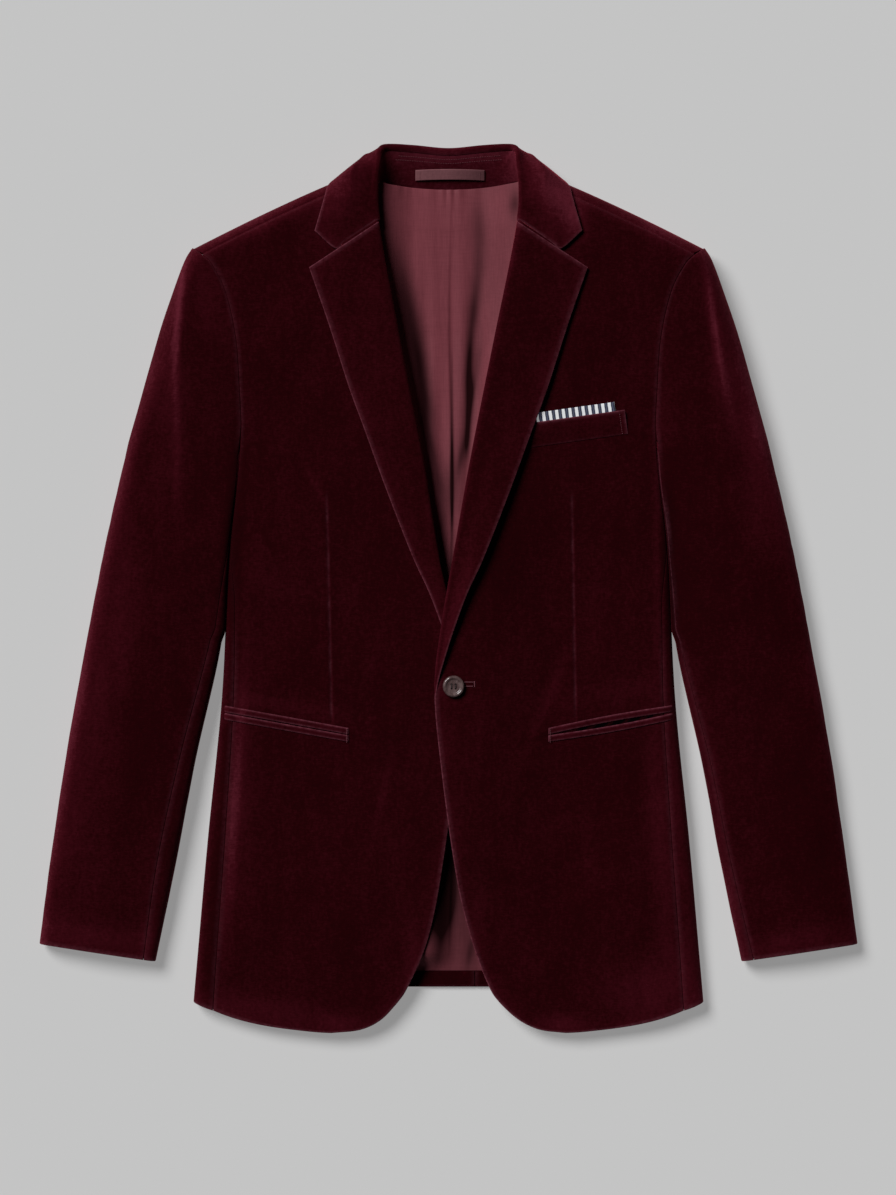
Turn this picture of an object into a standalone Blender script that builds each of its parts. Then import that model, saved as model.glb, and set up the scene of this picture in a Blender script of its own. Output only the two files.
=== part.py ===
"""Velvet blazer laid flat on its back, made of the pieces a tailor cuts and sews.

Metres, +Z up. The jacket lies on the plane z = 0 with its collar towards +Y and the wearer's left
towards +X. Each piece of cloth is an open grid of sections with a Solidify wall: the grid is the face
that shows, and the wall grows inwards from it. Shapes are worked out for the wearer's left side, with
x counted outwards from the middle, and mirrored for the right side.
"""

import bisect
import math
from collections import namedtuple

import bmesh
import bpy
from mathutils import Vector

MM = 0.001
LEFT = 1
RIGHT = -1
NAMES = {LEFT: "left", RIGHT: "right"}

# Walls and clearances
VELVET_WALL = 2.0 * MM
LINING_WALL = 1.0 * MM
TRIM_WALL = 1.2 * MM
SEAM = 0.3 * MM
LAID_ON = 0.5 * MM

# Lengths along the jacket, counted from the middle of its length
SIDE_HEM = -384.0 * MM
BACK_HEM = -366.5 * MM
LINING_HEM = -352.7 * MM
LINING_TOP = 372.4 * MM
UNDERARM = 119.0 * MM
HEM_BOW = 5.7 * MM
VENT_X = 24.5 * MM
HEM_END_X = 140.0 * MM

# Back: where its rows turn from straight across to the slope of the shoulder, and its level hem
BACK_RISE = 20.0 * MM
BACK_TOP_ROW = 352.0 * MM
BACK_HEM_RUN = 150.0 * MM
BACK_HEM_TURN = (100.0 * MM, 190.0 * MM)

# Shoulder: its outline in plan, and the roll that turns the front over into the back
SHOULDER_NECK = Vector((109.5, 371.4)) * MM
SHOULDER_TIP = Vector((229.6, 316.0)) * MM
SHOULDER_ROLL = 17.5 * MM
SHOULDER_ALONG = (SHOULDER_TIP - SHOULDER_NECK).normalized()
SHOULDER_OUT = Vector((-SHOULDER_ALONG.y, SHOULDER_ALONG.x))
SEAM_ANGLE = math.radians(150)
BACK_SEAM_ANGLE = math.radians(143.5)
ARMHOLE_LEAN = 4.0 * MM
ARMHOLE_LEAN_POWER = 8
NECK_ROLL = 12.0 * MM
NECK_TURN = (45.0 * MM, 76.0 * MM)
NECK_POINT = Vector((70.5, 379.3)) * MM
ARM_POINT = Vector((224.4, 308.0)) * MM

# Closure: the left front lies over the right one, raised near the middle and flat again up and down
OVERLAP = 8.0 * MM
OVERLAP_ACROSS = (20.0 * MM, 110.0 * MM)
OVERLAP_STARTS = (-340.0 * MM, -240.0 * MM)
OVERLAP_ENDS = (40.0 * MM, 200.0 * MM)
BUTTON_AT = Vector((4.7, -89.5)) * MM
BUTTON_HOLE_RADIUS = 0.9 * MM
BUTTON_HOLE_OFFSET = 1.9 * MM

# Lapels
LAPEL_FOOT = -73.0 * MM
LAPEL_TOP = 337.5 * MM
LAPEL_FOOT_RADIUS = 3.0 * MM
LAPEL_TOP_RADIUS = 4.0 * MM
LAPEL_RUN_IN = (LAPEL_FOOT - 34.0 * MM, LAPEL_FOOT - 4.0 * MM)

# Collar
COLLAR_RADIUS = 4.0 * MM
COLLAR_LEAN = math.radians(153)
COLLAR_ROOM = 4.2 * MM
COLLAR_ROOM_LENGTH = (235.0 * MM, 335.0 * MM)
COLLAR_ROOM_WIDTH = (115.0 * MM, 165.0 * MM)
COLLAR_TUCK = (0.8 * MM, 8.0 * MM)
COLLAR_TUCK_SHARES = (0.25, 0.7)
STAND_SHARE = 0.5

# Pockets
JET_HEIGHT = 6.2 * MM
JET_INNER_X = 92.0 * MM
JET_WRAP = 1.2
JET_END_GAP = 0.3 * MM
MOUTH_AT = Vector((97.3, -133.4)) * MM
MOUTH_SLOPE = 0.18
MOUTH_GAP = {LEFT: 3.6 * MM, RIGHT: 0.8 * MM}
WELT_INNER = Vector((66.0, 151.0)) * MM
WELT_OUTER = Vector((162.0, 164.5)) * MM
WELT_HEIGHT = 22.5 * MM
WELT_LIFT = 2.2 * MM
INSERT_SHARES = (0.16, 0.91)
INSERT_ABOVE = 8.6 * MM
INSERT_BELOW = 7.0 * MM

# Hanger loop
LOOP_HALF_LENGTH = 32.5 * MM
LOOP_SHARES = (0.14, 0.72)
LOOP_REACH = 0.80
LOOP_BOW = 1.5 * MM

# Grids: rows and columns, the powers that space them, and the share of a free edge below the underarm
SIDE_ROWS = 15
ARM_ROWS = 8
ARM_SPACING = 1.25
ACROSS_FRONT = 9
EDGE_STEPS = 96
EDGE_SPACING = 1.35
UNDERARM_SHARE = 0.70
BACK_SHARES = (1.0, 0.84, 0.67, 0.5, 0.36, 0.29, 0.23, 0.13, 0.0)
ROLL_STEPS = 4
FOLD_STEPS = 5
LEG_STEPS = 4
LAPEL_ROWS = 14
COLLAR_ROWS = 11
STAND_ROWS = 8
STAND_STEPS = 3
LINING_ROWS = 12
LINING_COLUMNS = 28
LINING_SPACING = 0.9
LINING_CROWDING = 0.65
SLEEVE_STEPS = 2
TURN_STEPS = 6
HEM_STEPS = 6
JET_STEPS = 8
JET_TURN_STEPS = 5
STRIP_STEPS = 8
STRIP_ROWS = 3
LOOP_STEPS = 10


def table(columns, *rows):
    """A short table with named columns, written in millimetres and kept in metres."""
    kind = namedtuple("Row", columns)
    return [kind(*(number * MM for number in row)) for row in rows]


# Body sections: half of the outline's width, the height at the side and in the middle, the radius of
# the side's roll, the side seam's distance from the roll, and the side panel's reach underneath
BODY = table(
    "y half_width side_height mid_height corner seam flap",
    (-412, 237.0, 17.0, 17.0, 8.0, 10.5, 45),
    (-382, 235.2, 17.5, 18.0, 8.0, 10.5, 45),
    (-232, 222.2, 20.0, 21.0, 9.0, 7.5, 42),
    (-100, 209.0, 22.0, 24.0, 9.5, 5.0, 40),
    (36, 202.0, 26.0, 28.0, 7.0, 2.2, 25),
    (119, 194.0, 29.0, 32.0, 3.2, 1.0, 8),
    (200, 191.5, 32.0, 36.0, 3.2, 1.0, 8),
    (290, 210.0, 35.0, 38.0, 3.2, 1.0, 8),
    (400, 230.0, 36.0, 36.0, 3.2, 1.0, 8),
)

# Free edge of each front, from the lowest point of its hem up to the neck, where it is the lapel's fold
FRONT_EDGE = table(
    "y left right",
    (-409.3, 108.0, 108.0),
    (-400.0, 68.0, 68.0),
    (-370.5, 39.3, 39.3),
    (-328.0, 22.6, 20.5),
    (-272.0, 8.5, 8.0),
    (-157.0, -7.7, -7.7),
    (-88.0, -12.9, -12.9),
    (-28.0, -6.0, -4.0),
    (27.0, 3.5, 8.0),
    (114.0, 18.9, 22.0),
    (230.0, 41.4, 44.0),
    (338.0, 62.7, 63.5),
    (379.3, 65.9, 65.9),
)

# Outer edge of a lapel, and how far its face stands above the front there
LAPEL_EDGE = table(
    "y x left right",
    (-70, -5.0, 3.8, 3.6),
    (-39, 4.7, 4.0, 3.6),
    (-4, 17.6, 5.0, 3.8),
    (27, 32.0, 6.5, 4.0),
    (91, 57.1, 9.0, 4.6),
    (147, 77.5, 11.0, 5.0),
    (183, 90.7, 11.5, 5.4),
    (246, 111.0, 11.0, 6.0),
    (295, 128.0, 9.0, 6.5),
)

# Armhole seam from the underarm to the end of the shoulder seam, and the sleeve head's outline beside it
ARMHOLE = table(
    "x y head_x head_y",
    (189.8, 119.0, 294.9, 135.2),
    (190.2, 150.0, 288.0, 160.0),
    (191.6, 180.0, 280.5, 187.0),
    (195.0, 230.0, 267.0, 234.5),
    (204.5, 273.0, 254.3, 272.0),
    (216.6, 297.2, 241.8, 301.0),
    (225.6, 307.4, 234.2, 313.2),
)

# Sleeve sections from the cuff to the underarm: both ends of the outline, the height, the radius of the
# inner roll, the forearm seam's distance from that roll, and the under sleeve's reach underneath
SLEEVE = table(
    "inner_x inner_y outer_x outer_y height corner forearm hindarm",
    (270.3, -343.5, 377.5, -327.3, 20.0, 8.5, 2.5, 80),
    (252.0, -256.0, 364.8, -233.5, 22.0, 9.0, 7.0, 75),
    (233.3, -158.0, 349.6, -134.8, 24.0, 9.5, 6.5, 70),
    (209.0, -47.1, 328.6, -20.0, 26.0, 9.0, 5.0, 58),
    (203.8, 36.0, 313.5, 55.0, 28.0, 6.5, 2.5, 30),
    (195.6, 119.0, 294.9, 135.2, 29.0, 3.2, 1.0, 8),
)
SLEEVE_CROWN = 3.0 * MM
SLEEVE_CROWN_WIDTH = (45.0 * MM, 100.0 * MM)
SLEEVE_FLAT = 3.0 * MM

# Collar sections from the gorge seam to the centre back: the fold, a point half way down, the edge
COLLAR = table(
    "fold_x fold_y fold_z mid_x mid_y mid_z edge_x edge_y edge_z",
    (62.4, 338.5, 38.2, 102.8, 313.4, 45.0, 123.0, 328.7, 45.0),
    (64.0, 352.0, 38.8, 95.0, 345.0, 46.0, 118.0, 346.0, 45.0),
    (64.5, 367.0, 39.6, 90.0, 367.0, 46.0, 114.0, 361.0, 41.0),
    (64.5, 381.0, 40.5, 88.0, 386.0, 43.0, 111.4, 371.0, 30.0),
    (63.8, 393.0, 40.0, 81.0, 396.0, 30.0, 103.0, 377.5, 9.0),
    (61.0, 403.0, 37.0, 73.0, 400.5, 15.0, 83.0, 373.0, 0.5),
    (53.0, 408.0, 31.0, 58.0, 400.0, 6.0, 62.0, 364.0, 0.3),
    (32.0, 408.0, 27.0, 34.0, 396.0, 4.0, 37.0, 358.0, 0.3),
    (0.0, 405.5, 25.0, 0.0, 394.0, 3.6, 0.0, 356.0, 0.3),
)

# Neck seam under the collar stand, from its front end to the centre back
NECK_SEAM = table(
    "x y z",
    (56.0, 387.0, 25.0),
    (51.0, 380.0, 16.5),
    (41.0, 375.5, 12.6),
    (22.0, 373.6, 11.4),
    (0.0, 373.2, 11.2),
)

# Top edge of the back, from the centre to the neck point, and the height it turns up to
BACK_NECK = table(
    "x y z",
    (0.0, 376.0, 4.8),
    (35.0, 376.5, 5.0),
    (50.0, 377.5, 7.5),
    (60.0, 378.5, 15.0),
)

# Half of the lining's width
LINING = table(
    "y half_width",
    (-360, 150),
    (240, 150),
    (300, 128),
    (345, 84),
    (372, 50),
)

# Standing folds of the lining: place at the hem and at the neck, half widths either side, height
FOLDS = table(
    "x_hem x_neck width_left width_right height",
    (-40, -44, 11, 13, 3.0),
    (-15, -13, 14, 9, 3.5),
    (-1, -1, 10, 2.6, 4.0),
    (13, 11, 7, 8, 3.0),
    (38, 40, 12, 12, 4.0),
)

# Button profile from the middle of its face, over the rim, to the middle of its back
BUTTON = table(
    "radius height",
    (0.0, 2.5),
    (6.0, 2.6),
    (7.3, 3.5),
    (8.5, 3.7),
    (9.6, 3.0),
    (10.0, 1.9),
    (8.8, 0.5),
    (5.5, 0.0),
    (0.0, 0.0),
)
BUTTON_STEPS = 20
BUTTON_WELD = 0.01 * MM

Look = namedtuple("Look", "colour roughness metallic")
VELVET = Look((0.055, 0.004, 0.012), 0.9, 0.0)
SATIN = Look((0.16, 0.045, 0.065), 0.45, 0.0)
HORN = Look((0.09, 0.065, 0.055), 0.35, 0.0)
STRIPED = Look((0.45, 0.46, 0.50), 0.7, 0.0)


def blend(first, second, share):
    """The value part of the way from one number or point to another."""
    return first + (second - first) * share


def ramp_line(value, start, end):
    """The straight share of the way from the start to the end."""
    return (value - start) / (end - start)


def ramp(value, start, end):
    """A smooth step from 0 at the start to 1 at the end."""
    share = min(max(ramp_line(value, start, end), 0.0), 1.0)
    return share * share * (3.0 - 2.0 * share)


def hermite(knots, values, position):
    """The value at a position on a smooth line through values at rising knots."""
    last = len(knots) - 1
    left = min(max(bisect.bisect_right(knots, position) - 1, 0), last - 1)

    def slope(index):
        before = max(index - 1, 0)
        after = min(index + 1, last)
        return (values[after] - values[before]) / (knots[after] - knots[before])

    span = knots[left + 1] - knots[left]
    share = min(max((position - knots[left]) / span, 0.0), 1.0)
    rest = 1.0 - share
    start = values[left] * ((1.0 + 2.0 * share) * rest * rest)
    end = values[left + 1] * (share * share * (3.0 - 2.0 * share))
    leans = slope(left) * (share * rest * rest) - slope(left + 1) * (share * share * rest)
    return start + end + leans * span


def read(rows, column, y):
    """A column of a table at a place along the jacket."""
    return hermite([row.y for row in rows], [getattr(row, column) for row in rows], y)


def curve(points):
    """A function that gives the point at each share of the way along a smooth line through the points."""
    knots = [0.0]
    for start, end in zip(points, points[1:]):
        knots.append(knots[-1] + (end - start).length)
    return lambda share: hermite(knots, points, share * knots[-1])


def raised(plan, height):
    """A point in plan, lifted to a height."""
    return Vector((plan.x, plan.y, height))


def shoulder_depth(x, y):
    """How far inside the shoulder's outline a place lies."""
    return -(Vector((x, y)) - SHOULDER_NECK).dot(SHOULDER_OUT)


def front_height(x, y, side):
    """Height of the face of a front, over its crown, its roll into the shoulder and the overlap."""
    side_height = read(BODY, "side_height", y)
    across = min(abs(x) / read(BODY, "half_width", y), 1.0)
    height = side_height + (read(BODY, "mid_height", y) - side_height) * (1.0 - across**2) ** 2
    past = min(max(1.0 - shoulder_depth(x, y) / SHOULDER_ROLL, 0.0), 1.0)
    height -= height / 2 * (1.0 - math.sqrt(1.0 - past**2))
    if side == LEFT:
        middle = 1.0 - ramp(x, *OVERLAP_ACROSS)
        height += OVERLAP * middle * ramp(y, *OVERLAP_STARTS) * (1.0 - ramp(y, *OVERLAP_ENDS))
    return height


def side_seam(y):
    """Distance of the front's side seam from the middle."""
    return read(BODY, "half_width", y) - read(BODY, "corner", y) - read(BODY, "seam", y)


def roll_radius(y):
    """Outer radius of the lapel's fold, which opens towards the neck."""
    return blend(LAPEL_FOOT_RADIUS, LAPEL_TOP_RADIUS, ramp(y, LAPEL_FOOT, LAPEL_TOP))


def side_heights():
    """Places of the rows between the hem and the underarm."""
    return [blend(SIDE_HEM, UNDERARM, row / SIDE_ROWS) for row in range(SIDE_ROWS + 1)]


def arm_shares():
    """Shares of the armhole at the rows between the underarm and the shoulder, closest at the underarm."""
    return [(row / ARM_ROWS) ** ARM_SPACING for row in range(1, ARM_ROWS + 1)]


def armhole_row(share, columns):
    """A point of the armhole table at a share of its rows."""
    points = [Vector([getattr(row, column) for column in columns]) for row in ARMHOLE]
    return hermite(range(len(points)), points, share * (len(points) - 1))


def armhole(share, offset):
    """A point of the armhole seam in plan, moved sideways by an offset."""
    plan = ("x", "y")
    step = 0.02
    along = armhole_row(min(share + step, 1.0), plan) - armhole_row(max(share - step, 0.0), plan)
    return armhole_row(share, plan) + Vector((along.y, -along.x)).normalized() * offset


def front_inner_edge(side):
    """The front's free edge, moved back where the lapel's fold takes its place."""
    seen = curve([Vector((getattr(row, NAMES[side]), row.y)) for row in FRONT_EDGE])
    points = []
    for step in range(EDGE_STEPS + 1):
        point = seen(step / EDGE_STEPS)
        point.x += (roll_radius(point.y) + 4 * SEAM) * ramp(point.y, *LAPEL_RUN_IN)
        points.append(point)
    return curve(points)


def front_rows(side):
    """A front, from its hem to the shoulder seam, row by row from the free edge outwards."""
    inner = front_inner_edge(side)
    pairs = []
    for index, y in enumerate(side_heights()):
        outer = Vector((side_seam(y), y))
        pairs.append((inner(UNDERARM_SHARE * (index / SIDE_ROWS) ** EDGE_SPACING), outer))
    for index, share in enumerate(arm_shares(), start=1):
        pairs.append((inner(blend(UNDERARM_SHARE, 1.0, index / ARM_ROWS)), armhole(share, -SEAM / 2)))
    rows = []
    for index, (start, end) in enumerate(pairs):
        row = []
        for step in range(ACROSS_FRONT + 1):
            share = step / ACROSS_FRONT
            place = start.lerp(end, share)
            place.y -= HEM_BOW * 4.0 * share * (1.0 - share) * (1.0 - ramp(index, 0, 4))
            row.append(raised(place, front_height(place.x, place.y, side)))
        rows.append(row)
    return rows


def rolled_edge(seam, outline, height, corner, reach):
    """A section from a seam on top, round the outline and underneath, as far as the reach."""
    outwards = (outline - seam).normalized()
    points = [raised(seam, height)]
    for middle_height, first in ((height - corner, 90.0), (corner, 0.0)):
        for step in range(ROLL_STEPS):
            angle = math.radians(first - 90.0 * step / (ROLL_STEPS - 1))
            plan = outline - outwards * corner * (1.0 - math.cos(angle))
            points.append(raised(plan, middle_height + corner * math.sin(angle)))
    points.append(raised(outline - outwards * reach, 0.0))
    return points


def side_panel_rows():
    """The panel between the front's side seam and the back."""
    rows = []
    for y in side_heights():
        outline = Vector((read(BODY, "half_width", y), y))
        seam = Vector((side_seam(y) + SEAM, y))
        height = front_height(seam.x, y, RIGHT)
        rows.append(rolled_edge(seam, outline, height, read(BODY, "corner", y), read(BODY, "flap", y)))
    return rows


def back_base(x, y):
    """Height of the underside of the back, which rises over the fall of the collar."""
    rise = min(max(ramp_line(y, *COLLAR_ROOM_LENGTH), 0.0), 1.0)
    return COLLAR_ROOM * rise * (1.0 - ramp(abs(x), *COLLAR_ROOM_WIDTH))


def back_top_edge():
    """The back's neckline and shoulder seam in plan, from the centre to the armhole."""
    neck = [Vector((row.x, row.y)) for row in BACK_NECK]
    shoulder = [NECK_POINT.lerp(ARM_POINT, share) for share in (0.0, 0.12, 0.5, 1.0)]
    return curve(neck + shoulder)


def back_top_height(place):
    """Height of the back's top edge: the neck seam's, then the front's along the shoulder."""
    if place.x > NECK_POINT.x:
        return front_height(place.x, place.y, RIGHT)
    neck = BACK_NECK + [BACK_NECK[0]._replace(x=NECK_POINT.x, z=front_height(*NECK_POINT, RIGHT))]
    return hermite([row.x for row in neck], [row.z for row in neck], place.x)


def back_roll(share, angle):
    """A point where the back turns up over the shoulder, at an angle round the turn."""
    top = back_top_edge()(share)
    opened = ramp(top.x, *NECK_TURN)
    outwards = blend(Vector((0.0, 1.0)), SHOULDER_OUT, opened).normalized()
    flat_swing = (angle / BACK_SEAM_ANGLE - 1.0) / 2
    swing = blend(flat_swing, math.sin(angle) - math.sin(SEAM_ANGLE), opened)
    place = top + outwards * blend(NECK_ROLL, SHOULDER_ROLL, opened) * swing
    lean = ARMHOLE_LEAN * share**ARMHOLE_LEAN_POWER
    place += SHOULDER_ALONG * lean * (2.0 * math.sin(angle) - 1.0)
    base = back_base(place.x, place.y)
    rise = (back_top_height(top) - base) / (1.0 - math.cos(SEAM_ANGLE))
    return raised(place, base + rise * (1.0 - math.cos(angle)))


def back_rows():
    """Half of the back, row by row from the side seam or armhole to the centre seam."""
    ends = []
    for y in side_heights():
        outer = Vector((read(BODY, "half_width", y) - read(BODY, "flap", y) - SEAM, y))
        ends.append((blend(BACK_HEM, UNDERARM + BACK_RISE, ramp_line(y, SIDE_HEM, UNDERARM)), outer))
    arm = arm_shares()[:-1]
    for index, share in enumerate(arm, start=1):
        centre_y = blend(UNDERARM + BACK_RISE, BACK_TOP_ROW, index / len(arm))
        ends.append((centre_y, armhole(share, -SEAM / 2)))
    rows = []
    for centre_y, outer in ends:
        centre = Vector((SEAM / 2, centre_y))
        plan = [centre.lerp(outer, share) for share in BACK_SHARES]
        level = 1.0 - ramp(centre_y, BACK_HEM, BACK_HEM + BACK_HEM_RUN)
        for place in plan:
            hem_y = blend(BACK_HEM, place.y, ramp(place.x, *BACK_HEM_TURN))
            place.y = blend(place.y, hem_y, level)
        rows.append([raised(place, back_base(place.x, place.y)) for place in plan])
    for step in range(ROLL_STEPS + 1):
        angle = BACK_SEAM_ANGLE * step / ROLL_STEPS
        row = [back_roll(share, angle) for share in BACK_SHARES]
        row[-1].x = SEAM / 2
        rows.append(row)
    return rows


def back_hem_rows(side):
    """The turned-up hem of the back, which lies on it below the lining and stops at the vent's edge."""
    height = VELVET_WALL + LAID_ON + TRIM_WALL
    xs = [blend(VENT_X * side + SEAM, HEM_END_X, column / HEM_STEPS) for column in range(HEM_STEPS + 1)]
    rows = []
    for y in (BACK_HEM + SEAM, LINING_HEM - SEAM):
        rows.append([Vector((x, y, height)) for x in xs])
    return rows


def lapel_rows(side):
    """A lapel, from its foot to the gorge seam, each row round its fold and out to its edge."""
    rows = []
    edge = curve([Vector((row.x, row.y)) for row in LAPEL_EDGE])
    for index in range(LAPEL_ROWS + 1):
        share = index / LAPEL_ROWS
        fold_y = blend(LAPEL_FOOT, LAPEL_TOP, share)
        fold = Vector((read(FRONT_EDGE, NAMES[side], fold_y), fold_y))
        outer = edge(share)
        across = (outer - fold).normalized()
        width = (outer - fold).length
        radius = roll_radius(fold_y)
        middle = fold + across * radius
        centre_height = front_height(middle.x, middle.y, side) - VELVET_WALL + radius
        row = []
        for step in range(FOLD_STEPS + 1):
            angle = math.pi * (step / FOLD_STEPS - 0.5)
            place = fold + across * radius * (1.0 - math.cos(angle))
            row.append(raised(place, centre_height + radius * math.sin(angle)))
        lift = read(LAPEL_EDGE, NAMES[side], outer.y)
        for step in range(1, LEG_STEPS + 1):
            leg = step / LEG_STEPS
            place = fold + across * blend(radius, width, leg)
            above = blend(2.0 * radius - VELVET_WALL, lift, ramp(leg, 0.0, 1.0))
            row.append(raised(place, front_height(place.x, place.y, side) + above))
        rows.append(row)
    return rows


def collar_point(column, share):
    """A named point of the collar's sections, at a share of the way from the gorge to the centre back."""
    axes = [column + axis for axis in ("_x", "_y", "_z")]
    points = [Vector([getattr(row, axis) for axis in axes]) for row in COLLAR]
    return hermite(list(range(len(points))), points, share * (len(points) - 1))


def collar_section(share):
    """A section of the collar fall, from the seam of the stand, over the fold and down to its edge."""
    fold = collar_point("fold", share)
    step = 0.01
    along = collar_point("fold", min(share + step, 1.0)) - collar_point("fold", max(share - step, 0.0))
    inwards = Vector((-along.y, along.x, 0.0)).normalized()
    upwards = Vector((0.0, 0.0, 1.0))
    lean = COLLAR_LEAN * ramp(share, 0.0, 1.0)
    crest = inwards * math.cos(lean) + upwards * math.sin(lean)
    to_fall = upwards * math.cos(lean) - inwards * math.sin(lean)
    centre = fold - crest * COLLAR_RADIUS
    tuck = blend(*COLLAR_TUCK, ramp(share, *COLLAR_TUCK_SHARES))
    points = [centre - to_fall * COLLAR_RADIUS - crest * tuck]
    for step in range(FOLD_STEPS + 1):
        angle = math.pi * (step / FOLD_STEPS - 0.5)
        points.append(centre + (crest * math.cos(angle) + to_fall * math.sin(angle)) * COLLAR_RADIUS)
    top, middle, edge = points[-1], collar_point("mid", share), collar_point("edge", share)
    upper = (middle - top).length
    fall = curve([top, top.lerp(middle, 0.4), top.lerp(middle, 0.8), middle, edge])
    middle_share = upper / (upper + (edge - middle).length)
    points += [fall(middle_share * step / LEG_STEPS) for step in range(1, LEG_STEPS + 1)]
    points += [fall(blend(middle_share, 1.0, step / 3)) for step in range(1, 4)]
    return points


def both_halves(shares, section):
    """Sections from the wearer's left round the back of the neck to the right."""
    left = [section(share) for share in shares]
    right = [[Vector((-point.x, point.y, point.z)) for point in row] for row in reversed(left[:-1])]
    return left + right


def stand_section(share):
    """A section of the collar stand, from the neck seam up to the seam under the fold."""
    seam = curve([Vector(row) for row in NECK_SEAM])
    bottom = seam(ramp_line(share, STAND_SHARE, 1.0))
    section = collar_section(share)
    top = section[0] + (section[0] - section[1]).normalized() * SEAM * 4
    return [bottom.lerp(top, step / STAND_STEPS) for step in range(STAND_STEPS + 1)]


def lining_height(x, y):
    """Height of the lining's face, over the back and its own standing folds."""
    height = back_base(x, y) + VELVET_WALL + 2 * LAID_ON + LINING_WALL
    along = ramp_line(y, LINING_HEM, LINING_TOP)
    settled = ramp(along, 0.0, 0.10) * (1.0 - 0.8 * ramp(along, 0.86, 1.0))
    for fold in FOLDS:
        middle = blend(fold.x_hem, fold.x_neck, along)
        width = fold.width_left if x < middle else fold.width_right
        height += fold.height * settled * math.exp(-(((x - middle) / width) ** 2))
    return height


def lining_rows():
    """The back lining, closest columns in the middle where it shows."""
    rows = []
    for index in range(LINING_ROWS + 1):
        y = blend(LINING_HEM, LINING_TOP, (index / LINING_ROWS) ** LINING_SPACING)
        half = read(LINING, "half_width", y)
        row = []
        for column in range(LINING_COLUMNS + 1):
            share = 2.0 * column / LINING_COLUMNS - 1.0
            x = half * blend(share, share**3, LINING_CROWDING)
            row.append(Vector((x, y, lining_height(x, y))))
        rows.append(row)
    return rows


def sleeve_stations():
    """Plan points of the sleeve's sections: start on top, outline, end underneath, height and roll."""
    rows = []
    for row in SLEEVE:
        inner = Vector((row.inner_x, row.inner_y))
        outer = Vector((row.outer_x, row.outer_y))
        across = (outer - inner).normalized()
        start = inner + across * (row.corner + row.forearm + SEAM)
        rows.append((start, outer, inner + across * (row.hindarm + SEAM), row.height, row.height / 2))
    stations = []
    for index in range((len(rows) - 1) * SLEEVE_STEPS + 1):
        stations.append([hermite(range(len(rows)), values, index / SLEEVE_STEPS) for values in zip(*rows)])
    for share in arm_shares():
        start = armhole(share, 2 * SEAM)
        height = front_height(start.x, start.y, RIGHT)
        stations.append([start, armhole_row(share, ("head_x", "head_y")), start, height, SHOULDER_ROLL])
    return stations


def turn_angles(reach, roll):
    """Angles round the sleeve's outer turn of a section's end and of the start of the turn."""
    if reach >= roll:
        return math.pi / 2, math.pi / 2
    end = math.acos(1.0 - reach / roll)
    return end, end - SLEEVE_FLAT / roll


def top_sleeve_rows():
    """The top sleeve: from the forearm seam or armhole, over the outer edge, to the seam underneath."""
    rows = []
    for start, outer, end, height, roll in sleeve_stations():
        reach = (outer - start).length
        outwards = (outer - start).normalized()
        top_end, top_start = turn_angles(reach, roll)
        low_end, low_start = turn_angles((outer - end).length, roll)
        half = height / (1.0 + math.sin(top_end))

        def turn(angle):
            place = outer - outwards * roll * (1.0 - math.cos(angle))
            return raised(place, half * (1.0 + math.sin(angle)))

        row = []
        for step in range(LEG_STEPS):
            share = step / LEG_STEPS
            crown = SLEEVE_CROWN * math.sin(math.pi * share) * ramp(reach, *SLEEVE_CROWN_WIDTH)
            flat = raised(start, height).lerp(turn(top_start), share) + Vector((0.0, 0.0, crown))
            row.append(flat if reach >= roll else turn(blend(top_end, top_start, share)))
        row += [turn(blend(top_start, -low_start, step / TURN_STEPS)) for step in range(TURN_STEPS + 1)]
        for share in (0.5, 1.0):
            flat = turn(-low_start).lerp(raised(end, 0.0), share)
            row.append(flat if reach >= roll else turn(-blend(low_start, low_end, share)))
        rows.append(row)
    return rows


def under_sleeve_rows():
    """The under sleeve: from the seam underneath, round the inner edge, to the forearm seam on top."""
    keys = list(range(len(SLEEVE)))
    rows = []
    for index in range((len(SLEEVE) - 1) * SLEEVE_STEPS + 1):
        place = index / SLEEVE_STEPS
        at = SLEEVE[0]._make(hermite(keys, column, place) for column in zip(*SLEEVE))
        inner = Vector((at.inner_x, at.inner_y))
        across = (Vector((at.outer_x, at.outer_y)) - inner).normalized()
        seam = inner + across * (at.corner + at.forearm)
        rows.append(rolled_edge(seam, inner, at.height, at.corner, at.hindarm)[::-1])
    return rows


def body_skin(x, y, side, lift):
    """A point above the body's face, where x past the start of the side's roll runs on round it."""
    corner = read(BODY, "corner", y)
    roll_start = read(BODY, "half_width", y) - corner
    if x <= roll_start:
        return Vector((x, y, front_height(x, y, side) + lift))
    angle = (x - roll_start) / corner
    centre_height = front_height(roll_start, y, side) - corner
    outwards = roll_start + (corner + lift) * math.sin(angle)
    return Vector((outwards, y, centre_height + (corner + lift) * math.cos(angle)))


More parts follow.
